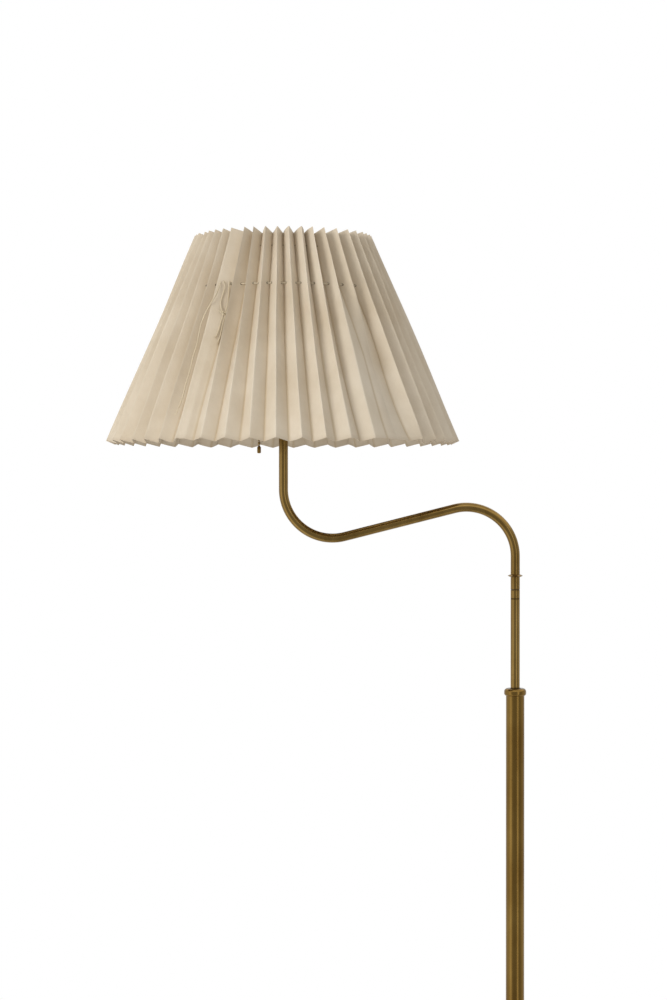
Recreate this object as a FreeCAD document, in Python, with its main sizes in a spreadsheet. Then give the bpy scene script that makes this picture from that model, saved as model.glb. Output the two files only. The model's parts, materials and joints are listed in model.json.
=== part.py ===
import FreeCAD, Part
import math
import os

import Sketcher
from FreeCAD import Placement, Rotation, Vector

# A bridge floor lamp in brass: a weighted round base, an upright tube, a thinner tube that slides in
# it, an S-shaped arm that swivels on top, and a pleated shade held on the arm's end by its drawstring.
# Millimetres. The origin is the middle of the base's underside, +Z is up, and the arm reaches to -X.

doc = FreeCAD.newDocument("FloorLamp")

# ---------------------------------------------------------------- driving sizes

DRIVING_SIZES = [
    # the base
    ("base_diameter", 260.0, "outside of the spun brass foot"),
    ("base_skirt", 12.0, "height of its straight edge"),
    ("base_shoulder", 8.0, "rounding from the edge to the top"),
    ("base_rise", 12.0, "how far the dished top climbs to the stem"),
    ("sheet_wall", 1.0, "thickness of the spun sheet"),
    ("crown_radius", 17.0, "flat middle of the foot, under the ferrule"),
    ("felt_wall", 2.0, "thickness of the felt"),
    ("felt_proud", 1.0, "how far the felt stands below the brass edge"),
    ("felt_inset", 4.0, "felt edge in from the brass edge"),
    ("weight_gap", 0.5, "room between the iron disc and the brass"),
    ("weight_edge", 10.5, "thickness of the iron disc at its edge"),
    ("weight_slope_start", 60.0, "radius where the disc starts to climb"),
    ("weight_hub", 16.0, "radius of the disc's hub"),
    ("recess_radius", 22.0, "recess for the nut under the disc"),
    ("recess_depth", 14.0, "depth of that recess"),
    ("lead_groove_width", 11.0, "groove for the mains lead under the disc"),
    ("lead_groove_depth", 9.0, "depth of that groove"),
    ("ferrule_height", 8.0, "collar where the stem meets the foot"),
    ("ferrule_edge", 1.5, "its straight outer edge"),
    ("ferrule_lip", 1.5, "its wall at the top"),
    ("ferrule_hollow", 8.0, "radius of its hollow flank"),
    ("gland_bore", 6.0, "hole for the mains lead"),
    ("gland_wall", 1.0, "wall of the lead's bush"),
    ("gland_flange", 1.0, "how far its flange stands out"),
    ("gland_height", 6.8, "its middle above the floor"),
    ("gland_length", 6.0, "length of the bush"),
    ("gland_nose", 2.2, "thickness of its flange"),
    # the fixing of the stem
    ("thread_diameter", 10.0, "threaded end under the stem"),
    ("thread_play", 0.05, "room in a thread or a push fit, on the radius"),
    ("hole_play", 0.25, "room round a part that passes a hole, on the radius"),
    ("foot_plug", 25.0, "length of the foot fitting inside the stem"),
    ("foot_bore", 6.0, "passage for the lead in it"),
    ("foot_tail", 1.0, "thread that shows under the nut"),
    ("washer_radius", 13.0, "washer under the iron disc"),
    ("washer_wall", 1.5, "its thickness"),
    ("nut_across", 17.0, "nut across its flats"),
    ("nut_height", 5.0, "its height"),
    # the stem
    ("stem_diameter", 20.0, "outside of the lower tube"),
    ("stem_wall", 1.0, "its wall"),
    ("stem_length", 873.0, "its length"),
    ("collar_diameter", 24.0, "bead round the top of the lower tube"),
    ("collar_height", 8.0, "its height"),
    ("collar_mouth", 12.4, "hole in its top, where the thin tube enters"),
    ("collar_lip", 1.5, "thickness of its top"),
    ("collar_round", 1.7, "rounding of its outer edges"),
    ("bush_length", 40.0, "friction bush inside the stem"),
    ("bush_flange", 1.5, "its flange on the tube's end"),
    ("bush_slit", 1.5, "width of its slit"),
    ("bush_solid", 6.0, "part of its length that is not slit"),
    ("slide_play", 0.05, "running clearance of the thin tube, on the radius"),
    # the thin tube and the swivel
    ("tube_diameter", 10.0, "outside of the thin tube and of the arm"),
    ("tube_wall", 1.0, "wall of both"),
    ("inner_length", 305.4, "length of the thin tube"),
    ("inner_shows", 97.4, "how much of it shows above the collar at rest"),
    ("guide_length", 15.0, "guide ring at its lower end"),
    ("guide_play", 0.08, "running clearance of that ring, on the radius"),
    ("spigot_length", 12.0, "part of the swivel inside the thin tube"),
    ("swivel_base", 9.6, "lower part of the swivel that shows"),
    ("pivot_diameter", 6.0, "pivot of the swivel"),
    ("pivot_play", 0.05, "its running clearance, on the radius"),
    ("pivot_bore", 4.2, "passage for the lead in it"),
    ("gasket_wall", 0.4, "washer between the halves of the swivel"),
    ("gasket_inset", 0.6, "how far that washer stays inside the tubes"),
    ("sleeve_length", 13.5, "upper part of the swivel, below its ring"),
    ("ring_diameter", 16.5, "sharp-edged ring on the swivel"),
    ("ring_height", 3.0, "its height at the tube"),
    ("ring_bulge", 9.0, "radius of its faces"),
    ("socket_length", 10.0, "part of the swivel inside the arm"),
    ("retainer_height", 3.0, "round nut on the pivot's end"),
    ("retainer_wall", 0.65, "its wall"),
    ("retainer_gap", 0.1, "end play of the pivot"),
    # the arm
    ("arm_reach", 252.0, "stem to the shade's axis"),
    ("bend_radius", 53.2, "both bends, to the middle of the tube"),
    ("arm_rise", 19.8, "straight part above the swivel"),
    ("bend_offset", 72.8, "height between the two bends' middles"),
    ("arm_end", 86.5, "straight part under the lamp holder"),
    # the lamp holder
    ("lock_radius", 9.0, "lock nut under the holder"),
    ("lock_height", 5.0, "its height"),
    ("cap_neck", 9.0, "neck of the holder's cap, on the arm"),
    ("cap_neck_radius", 7.0, "its outside"),
    ("cap_radius", 20.0, "outside of the cap"),
    ("cap_wall", 0.8, "its wall"),
    ("cap_height", 30.0, "top of the cap above the arm's end"),
    ("switch_floor", 13.5, "underside of the switch block above the arm's end"),
    ("switch_height", 12.5, "height of the switch block"),
    ("block_play", 0.4, "room round the blocks inside the cap, on the radius"),
    ("lead_bore", 8.0, "passage for the leads in the block"),
    ("core_gap", 0.3, "room between the switch block and the core"),
    ("core_height", 7.7, "height of the porcelain core's wide part"),
    ("core_step", 2.0, "height of its raised middle"),
    ("core_middle", 15.5, "radius of that middle"),
    ("contact_wall", 0.4, "thickness of the middle contact"),
    ("contact_width", 6.0, "its width"),
    ("contact_reach", 9.0, "its fixed end from the axis"),
    ("contact_lift", 2.3, "how far it springs up"),
    ("shell_radius", 13.95, "outside of the screw shell"),
    ("shell_wall", 0.5, "its wall"),
    ("shell_length", 20.0, "its length"),
    ("skirt_radius", 19.5, "threaded outside of the holder's skirt"),
    ("skirt_inner", 17.0, "its inside"),
    ("skirt_length", 28.0, "its length"),
    ("skirt_flange", 4.0, "height of its grip"),
    ("skirt_grip", 1.0, "how far the grip stands out"),
    ("grip_play", 0.2, "room over the porcelain core"),
    ("shade_ring_height", 5.0, "each shade ring"),
    ("shade_ring_hub", 1.9, "wall of its hub"),
    ("shade_ring_radius", 26.0, "outside of its flange"),
    ("shade_ring_wall", 1.2, "thickness of its flange"),
    ("shade_ring_level", 16.0, "flange of the lower ring above the cap's top"),
    # the pull switch
    ("pull_offset", 26.5, "pull chain from the holder's axis"),
    ("guide_bore", 3.8, "hole that the chain runs through"),
    ("guide_wall", 1.1, "its wall"),
    ("guide_drop", 7.5, "length of the mouth under the side tube"),
    ("guide_top", 3.0, "height of the mouth above the side tube"),
    ("guide_arm", 5.2, "diameter of the side tube"),
    ("guide_level", 19.0, "side tube above the arm's end"),
    ("bead_diameter", 2.7, "beads of the chain"),
    ("bead_flat", 0.9, "straight waist of a bead"),
    ("link_diameter", 0.8, "wire between the beads"),
    ("bead_pitch", 3.8, "one bead to the next"),
    ("bead_count", 15, "beads that hang"),
    ("pull_diameter", 4.2, "weight at the chain's end"),
    ("pull_length", 9.0, "its length"),
    ("pull_taper", 2.5, "its tapered shoulder"),
    # the bulb
    ("bulb_contact_radius", 4.5, "solder dot under the bulb"),
    ("bulb_contact_height", 1.2, "its height"),
    ("bulb_insulator_radius", 9.0, "black glass ring"),
    ("bulb_insulator_height", 3.5, "its height"),
    ("bulb_cap_radius", 13.2, "screw cap"),
    ("bulb_cap_height", 19.5, "its height"),
    ("bulb_cap_cone", 3.0, "its tapered lower end"),
    ("bulb_cap_wall", 0.4, "its wall"),
    ("bulb_neck_play", 0.4, "room between cap and glass"),
    ("bulb_radius", 30.0, "round part of the glass"),
    ("bulb_height", 82.0, "top of the glass above the cap's rim"),
    ("bulb_tuck", 13.0, "glass inside the cap"),
    ("bulb_waist", 12.0, "where the neck meets the round part, under its middle"),
    ("bulb_flank", 130.0, "radius of the neck's hollow flank"),
    ("bulb_wall", 1.0, "thickness of the glass"),
    # the shade and what carries it
    ("shade_top_radius", 95.7, "ridges at the top edge"),
    ("shade_rim_radius", 191.9, "ridges at the rim"),
    ("shade_height", 222.3, "top edge to rim, along the axis"),
    ("rim_drop", 34.3, "rim below the arm's end"),
    ("pleat_count", 46, "pleats round the shade"),
    ("pleat_fullness", 1.26, "length of the folded strip over the rim's girth"),
    ("wide_panel_ratio", 1.18, "width of the one spread panel over the others"),
    ("shade_wall", 0.45, "thickness of the shade"),
    ("string_drop", 61.0, "drawstring below the top edge"),
    ("string_inset", 11.0, "drawstring inside the ridges"),
    ("string_diameter", 1.4, "drawstring"),
    ("string_play", 0.3, "room in the pierced holes, on the radius"),
    ("tie_diameter", 1.3, "loose strands of the drawstring"),
    ("knot_width", 6.6, "knot, across"),
    ("knot_height", 5.2, "knot, up and down"),
    ("knot_depth", 3.2, "knot, front to back"),
    ("knot_play", 0.1, "room for each strand in the knot, on the radius"),
    ("carrier_wire", 3.0, "wire of the shade carrier"),
    ("carrier_seat", 0.3, "carrier ring to the nearest fold"),
    ("carrier_washer_radius", 33.0, "plate between the shade rings"),
    ("carrier_washer_wall", 1.2, "its thickness"),
    ("strut_foot", 27.8, "where a strut starts on that plate"),
    ("strut_bend", 31.5, "where it turns up"),
    ("strut_count", 3, "struts"),
    ("strut_weld", 0.1, "weld between strut and ring"),
]

sheet = doc.addObject("Spreadsheet::Sheet", "Sizes")
for row, (name, value, note) in enumerate(DRIVING_SIZES, start=1):
    sheet.set(f"A{row}", name)
    sheet.set(f"B{row}", str(value))
    sheet.set(f"C{row}", note)
    sheet.setAlias(f"B{row}", name)
doc.recompute()


class Size:
    """A length that carries its value and the sheet expression that gives it."""

    def __init__(self, value, text):
        self.value = float(value)
        self.text = text

    def __add__(self, other):
        other = as_size(other)
        return Size(self.value + other.value, f"({self.text} + {other.text})")

    def __sub__(self, other):
        other = as_size(other)
        return Size(self.value - other.value, f"({self.text} - {other.text})")

    def __mul__(self, other):
        other = as_size(other)
        return Size(self.value * other.value, f"({self.text} * {other.text})")

    def __truediv__(self, other):
        other = as_size(other)
        return Size(self.value / other.value, f"({self.text} / {other.text})")

    def __neg__(self):
        return Size(-self.value, f"(0 - {self.text})")

    def __rmul__(self, other):
        return as_size(other) * self


def as_size(number):
    """A plain number as a Size."""
    return number if isinstance(number, Size) else Size(number, str(float(number)))


def size(name):
    """A size read back from the sheet."""
    return Size(sheet.get(name), f"Sizes.{name}")


def worked_out(name, value, note):
    """Write a size that follows from the others into the sheet."""
    row = len(DRIVING_SIZES) + 2 + len(worked_out_names)
    sheet.set(f"A{row}", name)
    sheet.set(f"B{row}", str(value))
    sheet.set(f"C{row}", note)
    sheet.setAlias(f"B{row}", name)
    worked_out_names.append(name)
    doc.recompute()


worked_out_names = []
ZERO = as_size(0)
ON_AXIS = "on the axis"
FULL_TURN = 360

# ---------------------------------------------------------------- ways of making a piece

pieces = []


def kept(item, label, x=ZERO, y=ZERO, z=ZERO, turned_by=None):
    """Name a finished piece, put it in its place and list it for export."""
    item.Label = label
    if turned_by is not None:
        item.Placement = Placement(Vector(), turned_by)
    for axis, distance in (("x", x), ("y", y), ("z", z)):
        item.setExpression(f"Placement.Base.{axis}", distance.text)
    pieces.append(item)
    return item


def origin_part(body, role):
    """One of the origin's planes or axes of a body."""
    return next(item for item in body.Origin.OriginFeatures if item.Role == role)


def stretch(start, end, radius):
    """Geometry from one corner to the next: straight, or an arc that turns left (+) or right (-)."""
    if radius is None:
        return Part.LineSegment(start, end)
    chord = end - start
    if radius.value < 0:
        chord = start - end
    side = Vector(-chord.y, chord.x, 0).normalize()
    height = math.sqrt(radius.value**2 - (chord.Length / 2) ** 2)
    centre = (start + end) * 0.5 + side * height
    first, last = (start, end) if radius.value > 0 else (end, start)
    circle = Part.Circle(centre, Vector(0, 0, 1), abs(radius.value))
    return Part.ArcOfCircle(circle, circle.parameter(first), circle.parameter(last))


def held(sketch, kind, geometry, point, distance):
    """Hold one coordinate of a sketch point to an expression on the sheet."""
    if distance is ON_AXIS:
        sketch.addConstraint(Sketcher.Constraint("PointOnObject", geometry, point, -2))
        return
    number = sketch.addConstraint(
        Sketcher.Constraint(kind, -1, 1, geometry, point, distance.value))
    sketch.renameConstraint(number, f"{kind}_{geometry}")
    sketch.setExpression(f"Constraints.{kind}_{geometry}", distance.text)


def outline(body, plane, corners, name="Outline"):
    """A closed outline on an origin plane, each corner (across, up) or (across, up, radius)."""
    sketch = body.newObject("Sketcher::SketchObject", name)
    sketch.AttachmentSupport = [(origin_part(body, plane), "")]
    sketch.MapMode = "FlatFace"
    spots = []
    for corner in corners:
        across = 0 if corner[0] is ON_AXIS else corner[0].value
        spots.append(Vector(across, corner[1].value, 0))
    radii = [corner[2] if len(corner) > 2 else None for corner in corners]
    count = len(corners)
    for number in range(count):
        geometry = stretch(spots[number], spots[(number + 1) % count], radii[number])
        sketch.addGeometry(geometry, False)
    # an arc runs anticlockwise, so one that turns right starts at its second corner
    starts = [2 if radius is not None and radius.value < 0 else 1 for radius in radii]
    for number in range(count):
        after = (number + 1) % count
        sketch.addConstraint(Sketcher.Constraint(
            "Coincident", number, 3 - starts[number], after, starts[after]))
    for number, corner in enumerate(corners):
        held(sketch, "DistanceX", number, starts[number], corner[0])
        held(sketch, "DistanceY", number, starts[number], corner[1])
        if radii[number] is not None:
            radius = radii[number] if radii[number].value > 0 else -radii[number]
            place = sketch.addConstraint(Sketcher.Constraint("Radius", number, radius.value))
            sketch.renameConstraint(place, f"Radius_{number}")
            sketch.setExpression(f"Constraints.Radius_{number}", radius.text)
    return sketch


def turned(name, corners):
    """A body turned about its upright axis from an outline of (radius, height) corners."""
    body = doc.addObject("PartDesign::Body", name)
    profile = outline(body, "XZ_Plane", corners)
    turn = body.newObject("PartDesign::Revolution", "Turn")
    turn.Profile = profile
    turn.ReferenceAxis = (profile, ["V_Axis"])
    turn.Angle = FULL_TURN
    doc.recompute()
    return body


def ring_edges(feature, radius, height):
    """Names of a feature's round edges of one radius at one height."""
    names = []
    for number, edge in enumerate(feature.Shape.Edges, start=1):
        curve = edge.Curve
        if not isinstance(curve, Part.Circle):
            continue
        near = abs(curve.Radius - radius.value) < 0.01
        if near and abs(curve.Center.z - height.value) < 0.01:
            names.append(f"Edge{number}")
    return names


def rounded(body, edges, radius):
    """Round some edges of a body's last feature."""
    sharp = body.Tip
    fillet = body.newObject("PartDesign::Fillet", "Round")
    fillet.Base = (sharp, edges)
    fillet.setExpression("Radius", radius.text)
    doc.recompute()


def cylinder(name, radius, height):
    rod = doc.addObject("Part::Cylinder", name)
    rod.setExpression("Radius", radius.text)
    rod.setExpression("Height", height.text)
    return rod


def block(name, length, width, height):
    box = doc.addObject("Part::Box", name)
    box.setExpression("Length", length.text)
    box.setExpression("Width", width.text)
    box.setExpression("Height", height.text)
    return box


def moved(item, x=ZERO, y=ZERO, z=ZERO, turned_by=None):
    """Place a tool or a blank inside the piece that it belongs to."""
    if turned_by is not None:
        item.Placement = Placement(Vector(), turned_by)
    for axis, distance in (("x", x), ("y", y), ("z", z)):
        item.setExpression(f"Placement.Base.{axis}", distance.text)
    return item


def cut(name, base, tool):
    result = doc.addObject("Part::Cut", name)
    result.Base = base
    result.Tool = tool
    doc.recompute()
    return result


ALONG_Y = Rotation(Vector(1, 0, 0), -90)
ALONG_MINUS_X = Rotation(Vector(0, 1, 0), -90)

# ---------------------------------------------------------------- heights and radii shared by pieces

felt_top = size("felt_wall")
brass_edge = size("felt_proud")
skirt_top = brass_edge + size("base_skirt")
shoulder_top = skirt_top + size("base_shoulder")
base_top = shoulder_top + size("base_rise")
tube_top = base_top + size("stem_length")
collar_top = tube_top + size("bush_flange") + size("collar_lip")
joint_line = collar_top + size("inner_shows")
arm_start = (joint_line + size("swivel_base") + size("gasket_wall") + size("sleeve_length")
             + size("ring_height"))
right_bend = arm_start + size("arm_rise")
left_bend = right_bend + size("bend_offset")
arm_tip = left_bend + size("arm_end")
rim_level = arm_tip - size("rim_drop")
string_level = rim_level + size("shade_height") - size("string_drop")
shade_axis = -size("arm_reach")

base_radius = size("base_diameter") / 2
stem_radius = size("stem_diameter") / 2
stem_bore = stem_radius - size("stem_wall")
tube_radius = size("tube_diameter") / 2
tube_bore = tube_radius - size("tube_wall")
thread_radius = size("thread_diameter") / 2
plug_radius = stem_bore - size("thread_play")
core_floor = size("switch_floor") + size("switch_height") + size("core_gap")
core_top = core_floor + size("core_height") + size("core_step")

# ---------------------------------------------------------------- base


def base_felt():
    felt = cylinder("felt", base_radius - size("felt_inset"), size("felt_wall"))
    kept(felt, "base_felt")


def base_shell():
    """The spun brass foot: straight edge, round shoulder and a top dished up to the stem."""
    wall = size("sheet_wall")
    shoulder = size("base_shoulder")
    crown = size("crown_radius")
    hole = thread_radius + size("hole_play")
    run = base_radius - shoulder - crown
    rise = size("base_rise")
    dish = (run * run + rise * rise) / (2 * rise)
    corners = [
        (base_radius, brass_edge),
        (base_radius, skirt_top, shoulder),
        (base_radius - shoulder, shoulder_top, -dish),
        (crown, base_top),
        (hole, base_top),
        (hole, base_top - wall),
        (crown, base_top - wall, dish),
        (base_radius - shoulder, shoulder_top - wall, wall - shoulder),
        (base_radius - wall, skirt_top),
        (base_radius - wall, brass_edge),
    ]
    spun = turned("spun_foot", corners)
    drill = cylinder("gland_hole", gland_neck + size("thread_play"), size("gland_length"))
    moved(drill, y=base_radius - size("gland_length"), z=size("gland_height"), turned_by=ALONG_Y)
    kept(cut("foot", spun, drill), "base_shell")


gland_neck = size("gland_bore") / 2 + size("gland_wall")


def cord_gland():
    """The bush in the foot's edge that the mains lead would pass through."""
    bore = size("gland_bore") / 2
    flange = gland_neck + size("gland_flange")
    corners = [
        (bore, -size("gland_length") + size("gland_nose")),
        (gland_neck, -size("gland_length") + size("gland_nose")),
        (gland_neck, ZERO),
        (flange, ZERO),
        (gland_neck, size("gland_nose")),
        (bore, size("gland_nose")),
    ]
    kept(turned("gland", corners), "cord_gland", y=base_radius, z=size("gland_height"),
         turned_by=ALONG_Y)


def base_weight():
    """The iron disc: thin at its edge, with a hub up to the brass and a recess for the nut."""
    edge = base_radius - size("sheet_wall") - size("weight_gap")
    edge_top = felt_top + size("weight_edge")
    hub = size("weight_hub")
    hub_top = base_top - size("sheet_wall")
    slope_top = hub_top - size("washer_wall")
    hub_foot = hub + size("foot_bore") / 2
    hole = thread_radius + size("hole_play")
    recess = size("recess_radius")
    recess_top = felt_top + size("recess_depth")
    corners = [
        (recess, felt_top),
        (edge, felt_top),
        (edge, edge_top),
        (size("weight_slope_start"), edge_top),
        (hub_foot, slope_top),
        (hub, hub_top),
        (hole, hub_top),
        (hole, recess_top),
        (recess, recess_top),
    ]
    casting = turned("casting", corners)
    groove = block("lead_groove", size("lead_groove_width"), base_radius,
                   size("lead_groove_depth"))
    moved(groove, x=-size("lead_groove_width") / 2, y=recess / 2, z=felt_top)
    kept(cut("disc", casting, groove), "base_weight")


def stem_ferrule():
    bore = stem_radius + size("thread_play")
    edge = size("crown_radius")
    top = size("ferrule_height")
    corners = [
        (bore, ZERO),
        (edge, ZERO),
        (edge, size("ferrule_edge"), -size("ferrule_hollow")),
        (bore + size("ferrule_lip"), top),
        (bore, top),
    ]
    kept(turned("ferrule", corners), "stem_ferrule", z=base_top)


def stem_foot():
    """The fitting in the stem's lower end, with the thread that clamps stem, brass and iron."""
    bore = size("foot_bore") / 2
    tail = nut_level - size("foot_tail")
    corners = [
        (bore, tail),
        (thread_radius, tail),
        (thread_radius, base_top),
        (plug_radius, base_top),
        (plug_radius, base_top + size("foot_plug")),
        (bore, base_top + size("foot_plug")),
    ]
    kept(turned("fitting", corners), "stem_foot")


washer_level = felt_top + size("recess_depth") - size("washer_wall")
nut_level = washer_level - size("nut_height")


def foot_washer():
    hole = thread_radius + size("hole_play")
    corners = [
        (hole, ZERO),
        (size("washer_radius"), ZERO),
        (size("washer_radius"), size("washer_wall")),
        (hole, size("washer_wall")),
    ]
    kept(turned("washer", corners), "foot_washer", z=washer_level)


def foot_nut():
    blank = doc.addObject("Part::Prism", "nut_blank")
    blank.Polygon = 6
    across_corners = size("nut_across") / as_size(math.sqrt(3))
    blank.setExpression("Circumradius", across_corners.text)
    blank.setExpression("Height", size("nut_height").text)
    tap = cylinder("nut_tap", thread_radius + size("thread_play"), size("nut_height"))
    kept(cut("nut", blank, tap), "foot_nut", z=nut_level)


# ---------------------------------------------------------------- stem


def tube(name, label, outer, bore, length, z):
    corners = [(bore, ZERO), (outer, ZERO), (outer, length), (bore, length)]
    kept(turned(name, corners), label, z=z)


def friction_bush():
    """A slit sleeve in the stem's end that grips the thin tube."""
    bore = tube_radius + size("slide_play")
    length = size("bush_length")
    corners = [
        (bore, -length),
        (plug_radius, -length),
        (plug_radius, ZERO),
        (stem_radius, ZERO),
        (stem_radius, size("bush_flange")),
        (bore, size("bush_flange")),
    ]
    sleeve = turned("sleeve", corners)
    slit = block("slit", stem_radius, size("bush_slit"), length - size("bush_solid"))
    moved(slit, y=-size("bush_slit") / 2, z=-length)
    kept(cut("split_sleeve", sleeve, slit), "friction_bush", z=tube_top)


def stem_collar():
    """The rounded bead that screws over the stem's end and holds the bush down."""
    bore = stem_radius + size("thread_play")
    outer = size("collar_diameter") / 2
    top = size("bush_flange") + size("collar_lip")
    bottom = top - size("collar_height")
    mouth = size("collar_mouth") / 2
    corners = [
        (bore, bottom),
        (outer, bottom),
        (outer, top),
        (mouth, top),
        (mouth, size("bush_flange")),
        (bore, size("bush_flange")),
    ]
    bead = turned("bead", corners)
    edges = ring_edges(bead.Tip, outer, bottom) + ring_edges(bead.Tip, outer, top)
    rounded(bead, edges, size("collar_round"))
    kept(bead, "stem_collar", z=tube_top)


def guide_bush():
    """A plastic ring on the thin tube's lower end: it guides it, and stops it at the bush."""
    outer = stem_bore - size("guide_play")
    bore = tube_radius + size("thread_play")
    corners = [
        (bore, ZERO),
        (outer, ZERO),
        (outer, size("guide_length")),
        (bore, size("guide_length")),
    ]
    kept(turned("guide", corners), "guide_bush", z=joint_line - size("inner_length"))


# ---------------------------------------------------------------- swivel, in heights above the joint line

socket_radius = tube_bore - size("thread_play")
pivot_radius = size("pivot_diameter") / 2
gasket_level = size("swivel_base")
sleeve_level = gasket_level + size("gasket_wall")
ring_level = sleeve_level + size("sleeve_length")
socket_level = ring_level + size("ring_height")
retainer_level = socket_level + size("socket_length") + size("retainer_gap")
pivot_end = retainer_level + size("retainer_height")


def swivel_lower():
    bore = size("pivot_bore") / 2
    corners = [
        (bore, -size("spigot_length")),
        (socket_radius, -size("spigot_length")),
        (socket_radius, ZERO),
        (tube_radius, ZERO),
        (tube_radius, gasket_level),
        (pivot_radius, gasket_level),
        (pivot_radius, pivot_end),
        (bore, pivot_end),
    ]
    kept(turned("pivot", corners), "swivel_lower", z=joint_line)


def swivel_washer():
    hole = pivot_radius + size("pivot_play")
    rim = tube_radius - size("gasket_inset")
    corners = [
        (hole, gasket_level),
        (rim, gasket_level),
        (rim, sleeve_level),
        (hole, sleeve_level),
    ]
    kept(turned("gasket", corners), "swivel_washer", z=joint_line)


def swivel_upper():
    """The turning sleeve, its sharp-edged ring and the socket that carries the arm."""
    bore = pivot_radius + size("pivot_play")
    ring_edge = size("ring_diameter") / 2
    bulge = size("ring_bulge")
    corners = [
        (bore, sleeve_level),
        (tube_radius, sleeve_level),
        (tube_radius, ring_level, bulge),
        (ring_edge, ring_level + size("ring_height") / 2, bulge),
        (tube_radius, socket_level),
        (socket_radius, socket_level),
        (socket_radius, socket_level + size("socket_length")),
        (bore, socket_level + size("socket_length")),
    ]
    kept(turned("turning_sleeve", corners), "swivel_upper", z=joint_line)


def pivot_nut():
    hole = pivot_radius + size("pivot_play")
    rim = hole + size("retainer_wall")
    corners = [
        (hole, retainer_level),
        (rim, retainer_level),
        (rim, pivot_end),
        (hole, pivot_end),
    ]
    kept(turned("retainer", corners), "pivot_nut", z=joint_line)


# ---------------------------------------------------------------- arm


def ring_profile(body, outer, bore):
    """Two circles about the origin on the ground plane, for a tube's pipe."""
    sketch = body.newObject("Sketcher::SketchObject", "Section")
    sketch.AttachmentSupport = [(origin_part(body, "XY_Plane"), "")]
    sketch.MapMode = "FlatFace"
    for number, (name, radius) in enumerate((("Outer", outer), ("Bore", bore))):
        circle = Part.Circle(Vector(), Vector(0, 0, 1), radius.value)
        sketch.addGeometry(circle, False)
        sketch.addConstraint(Sketcher.Constraint("Coincident", number, 3, -1, 1))
        place = sketch.addConstraint(Sketcher.Constraint("Radius", number, radius.value))
        sketch.renameConstraint(place, name)
        sketch.setExpression(f"Constraints.{name}", radius.text)
    return sketch


def arm_path(body):
    """The tube's middle line: up, over the right bend, down a slope, round the left bend, up."""
    reach = size("arm_reach")
    bend = size("bend_radius")
    first = size("arm_rise")
    second = first + size("bend_offset")
    tip = second + size("arm_end")
    across = reach.value - 2 * bend.value
    drop = size("bend_offset").value
    slope = math.asin(2 * bend.value / math.hypot(across, drop)) - math.atan2(drop, across)
    sketch = body.newObject("Sketcher::SketchObject", "Path")
    sketch.AttachmentSupport = [(origin_part(body, "XZ_Plane"), "")]
    sketch.MapMode = "FlatFace"
    upright = Vector(0, 0, 1)
    right = Part.Circle(Vector(-bend.value, first.value, 0), upright, bend.value)
    left = Part.Circle(Vector(bend.value - reach.value, second.value, 0), upright, bend.value)
    quarter = math.pi / 2
    over = Part.ArcOfCircle(right, 0, quarter + slope)
    under = Part.ArcOfCircle(left, 2 * quarter, 3 * quarter + slope)
    sketch.addGeometry(Part.LineSegment(Vector(), over.StartPoint), False)
    sketch.addGeometry(over, False)
    sketch.addGeometry(Part.LineSegment(over.EndPoint, under.EndPoint), False)
    sketch.addGeometry(under, False)
    end = Vector(-reach.value, tip.value, 0)
    sketch.addGeometry(Part.LineSegment(under.StartPoint, end), False)
    for rule in (("Coincident", 0, 1, -1, 1), ("Vertical", 0), ("Vertical", 4),
                 ("Tangent", 0, 2, 1, 1), ("Tangent", 1, 2, 2, 1), ("Tangent", 2, 2, 3, 2),
                 ("Tangent", 3, 1, 4, 1), ("Equal", 1, 3)):
        sketch.addConstraint(Sketcher.Constraint(*rule))
    for name, rule, length in (
            ("Bend", ("Radius", 1), bend),
            ("Rise", ("DistanceY", -1, 1, 1, 3), first),
            ("Offset", ("DistanceY", -1, 1, 3, 3), second),
            ("Reach", ("DistanceX", -1, 1, 4, 2), -reach),
            ("Tip", ("DistanceY", -1, 1, 4, 2), tip)):
        place = sketch.addConstraint(Sketcher.Constraint(*rule, length.value))
        sketch.renameConstraint(place, name)
        sketch.setExpression(f"Constraints.{name}", length.text)
    return sketch


def arm_tube():
    body = doc.addObject("PartDesign::Body", "bent_tube")
    section = ring_profile(body, tube_radius, tube_bore)
    path = arm_path(body)
    doc.recompute()
    pipe = body.newObject("PartDesign::AdditivePipe", "Pipe")
    pipe.Profile = section
    pipe.Spine = path
    doc.recompute()
    kept(body, "arm_tube", z=arm_start)


# ---------------------------------------------------------------- lamp holder, in heights above the arm's end


def holder_locknut():
    bore = tube_radius + size("thread_play")
    top = -size("cap_neck")
    bottom = top - size("lock_height")
    corners = [
        (bore, bottom),
        (size("lock_radius"), bottom),
        (size("lock_radius"), top),
        (bore, top),
    ]
    kept(turned("lock", corners), "holder_locknut", x=shade_axis, z=arm_tip)


def holder_cap():
    """The drawn brass cap: a neck on the arm's thread, a round floor and a straight wall."""
    bore = tube_radius + size("thread_play")
    wall = size("cap_wall")
    neck = size("cap_neck_radius")
    outer = size("cap_radius")
    dome = outer - neck
    top = size("cap_height")
    corners = [
        (bore, -size("cap_neck")),
        (neck, -size("cap_neck")),
        (neck, ZERO, dome),
        (outer, dome),
        (outer, top),
        (outer - wall, top),
        (outer - wall, dome, wall - dome),
        (neck, wall),
        (bore, wall),
    ]
    drawn = turned("drawn_cap", corners)
    drill = cylinder("guide_hole", size("guide_arm") / 2 + size("thread_play"), outer)
    moved(drill, z=size("guide_level"), turned_by=ALONG_MINUS_X)
    kept(cut("cap", drawn, drill), "holder_cap", x=shade_axis, z=arm_tip)


block_radius = size("cap_radius") - size("cap_wall") - size("block_play")


def switch_block():
    bore = size("lead_bore") / 2
    bottom = size("switch_floor")
    top = bottom + size("switch_height")
    corners = [
        (bore, bottom),
        (block_radius, bottom),
        (block_radius, top),
        (bore, top),
    ]
    kept(turned("switch", corners), "switch_block", x=shade_axis, z=arm_tip)


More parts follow.
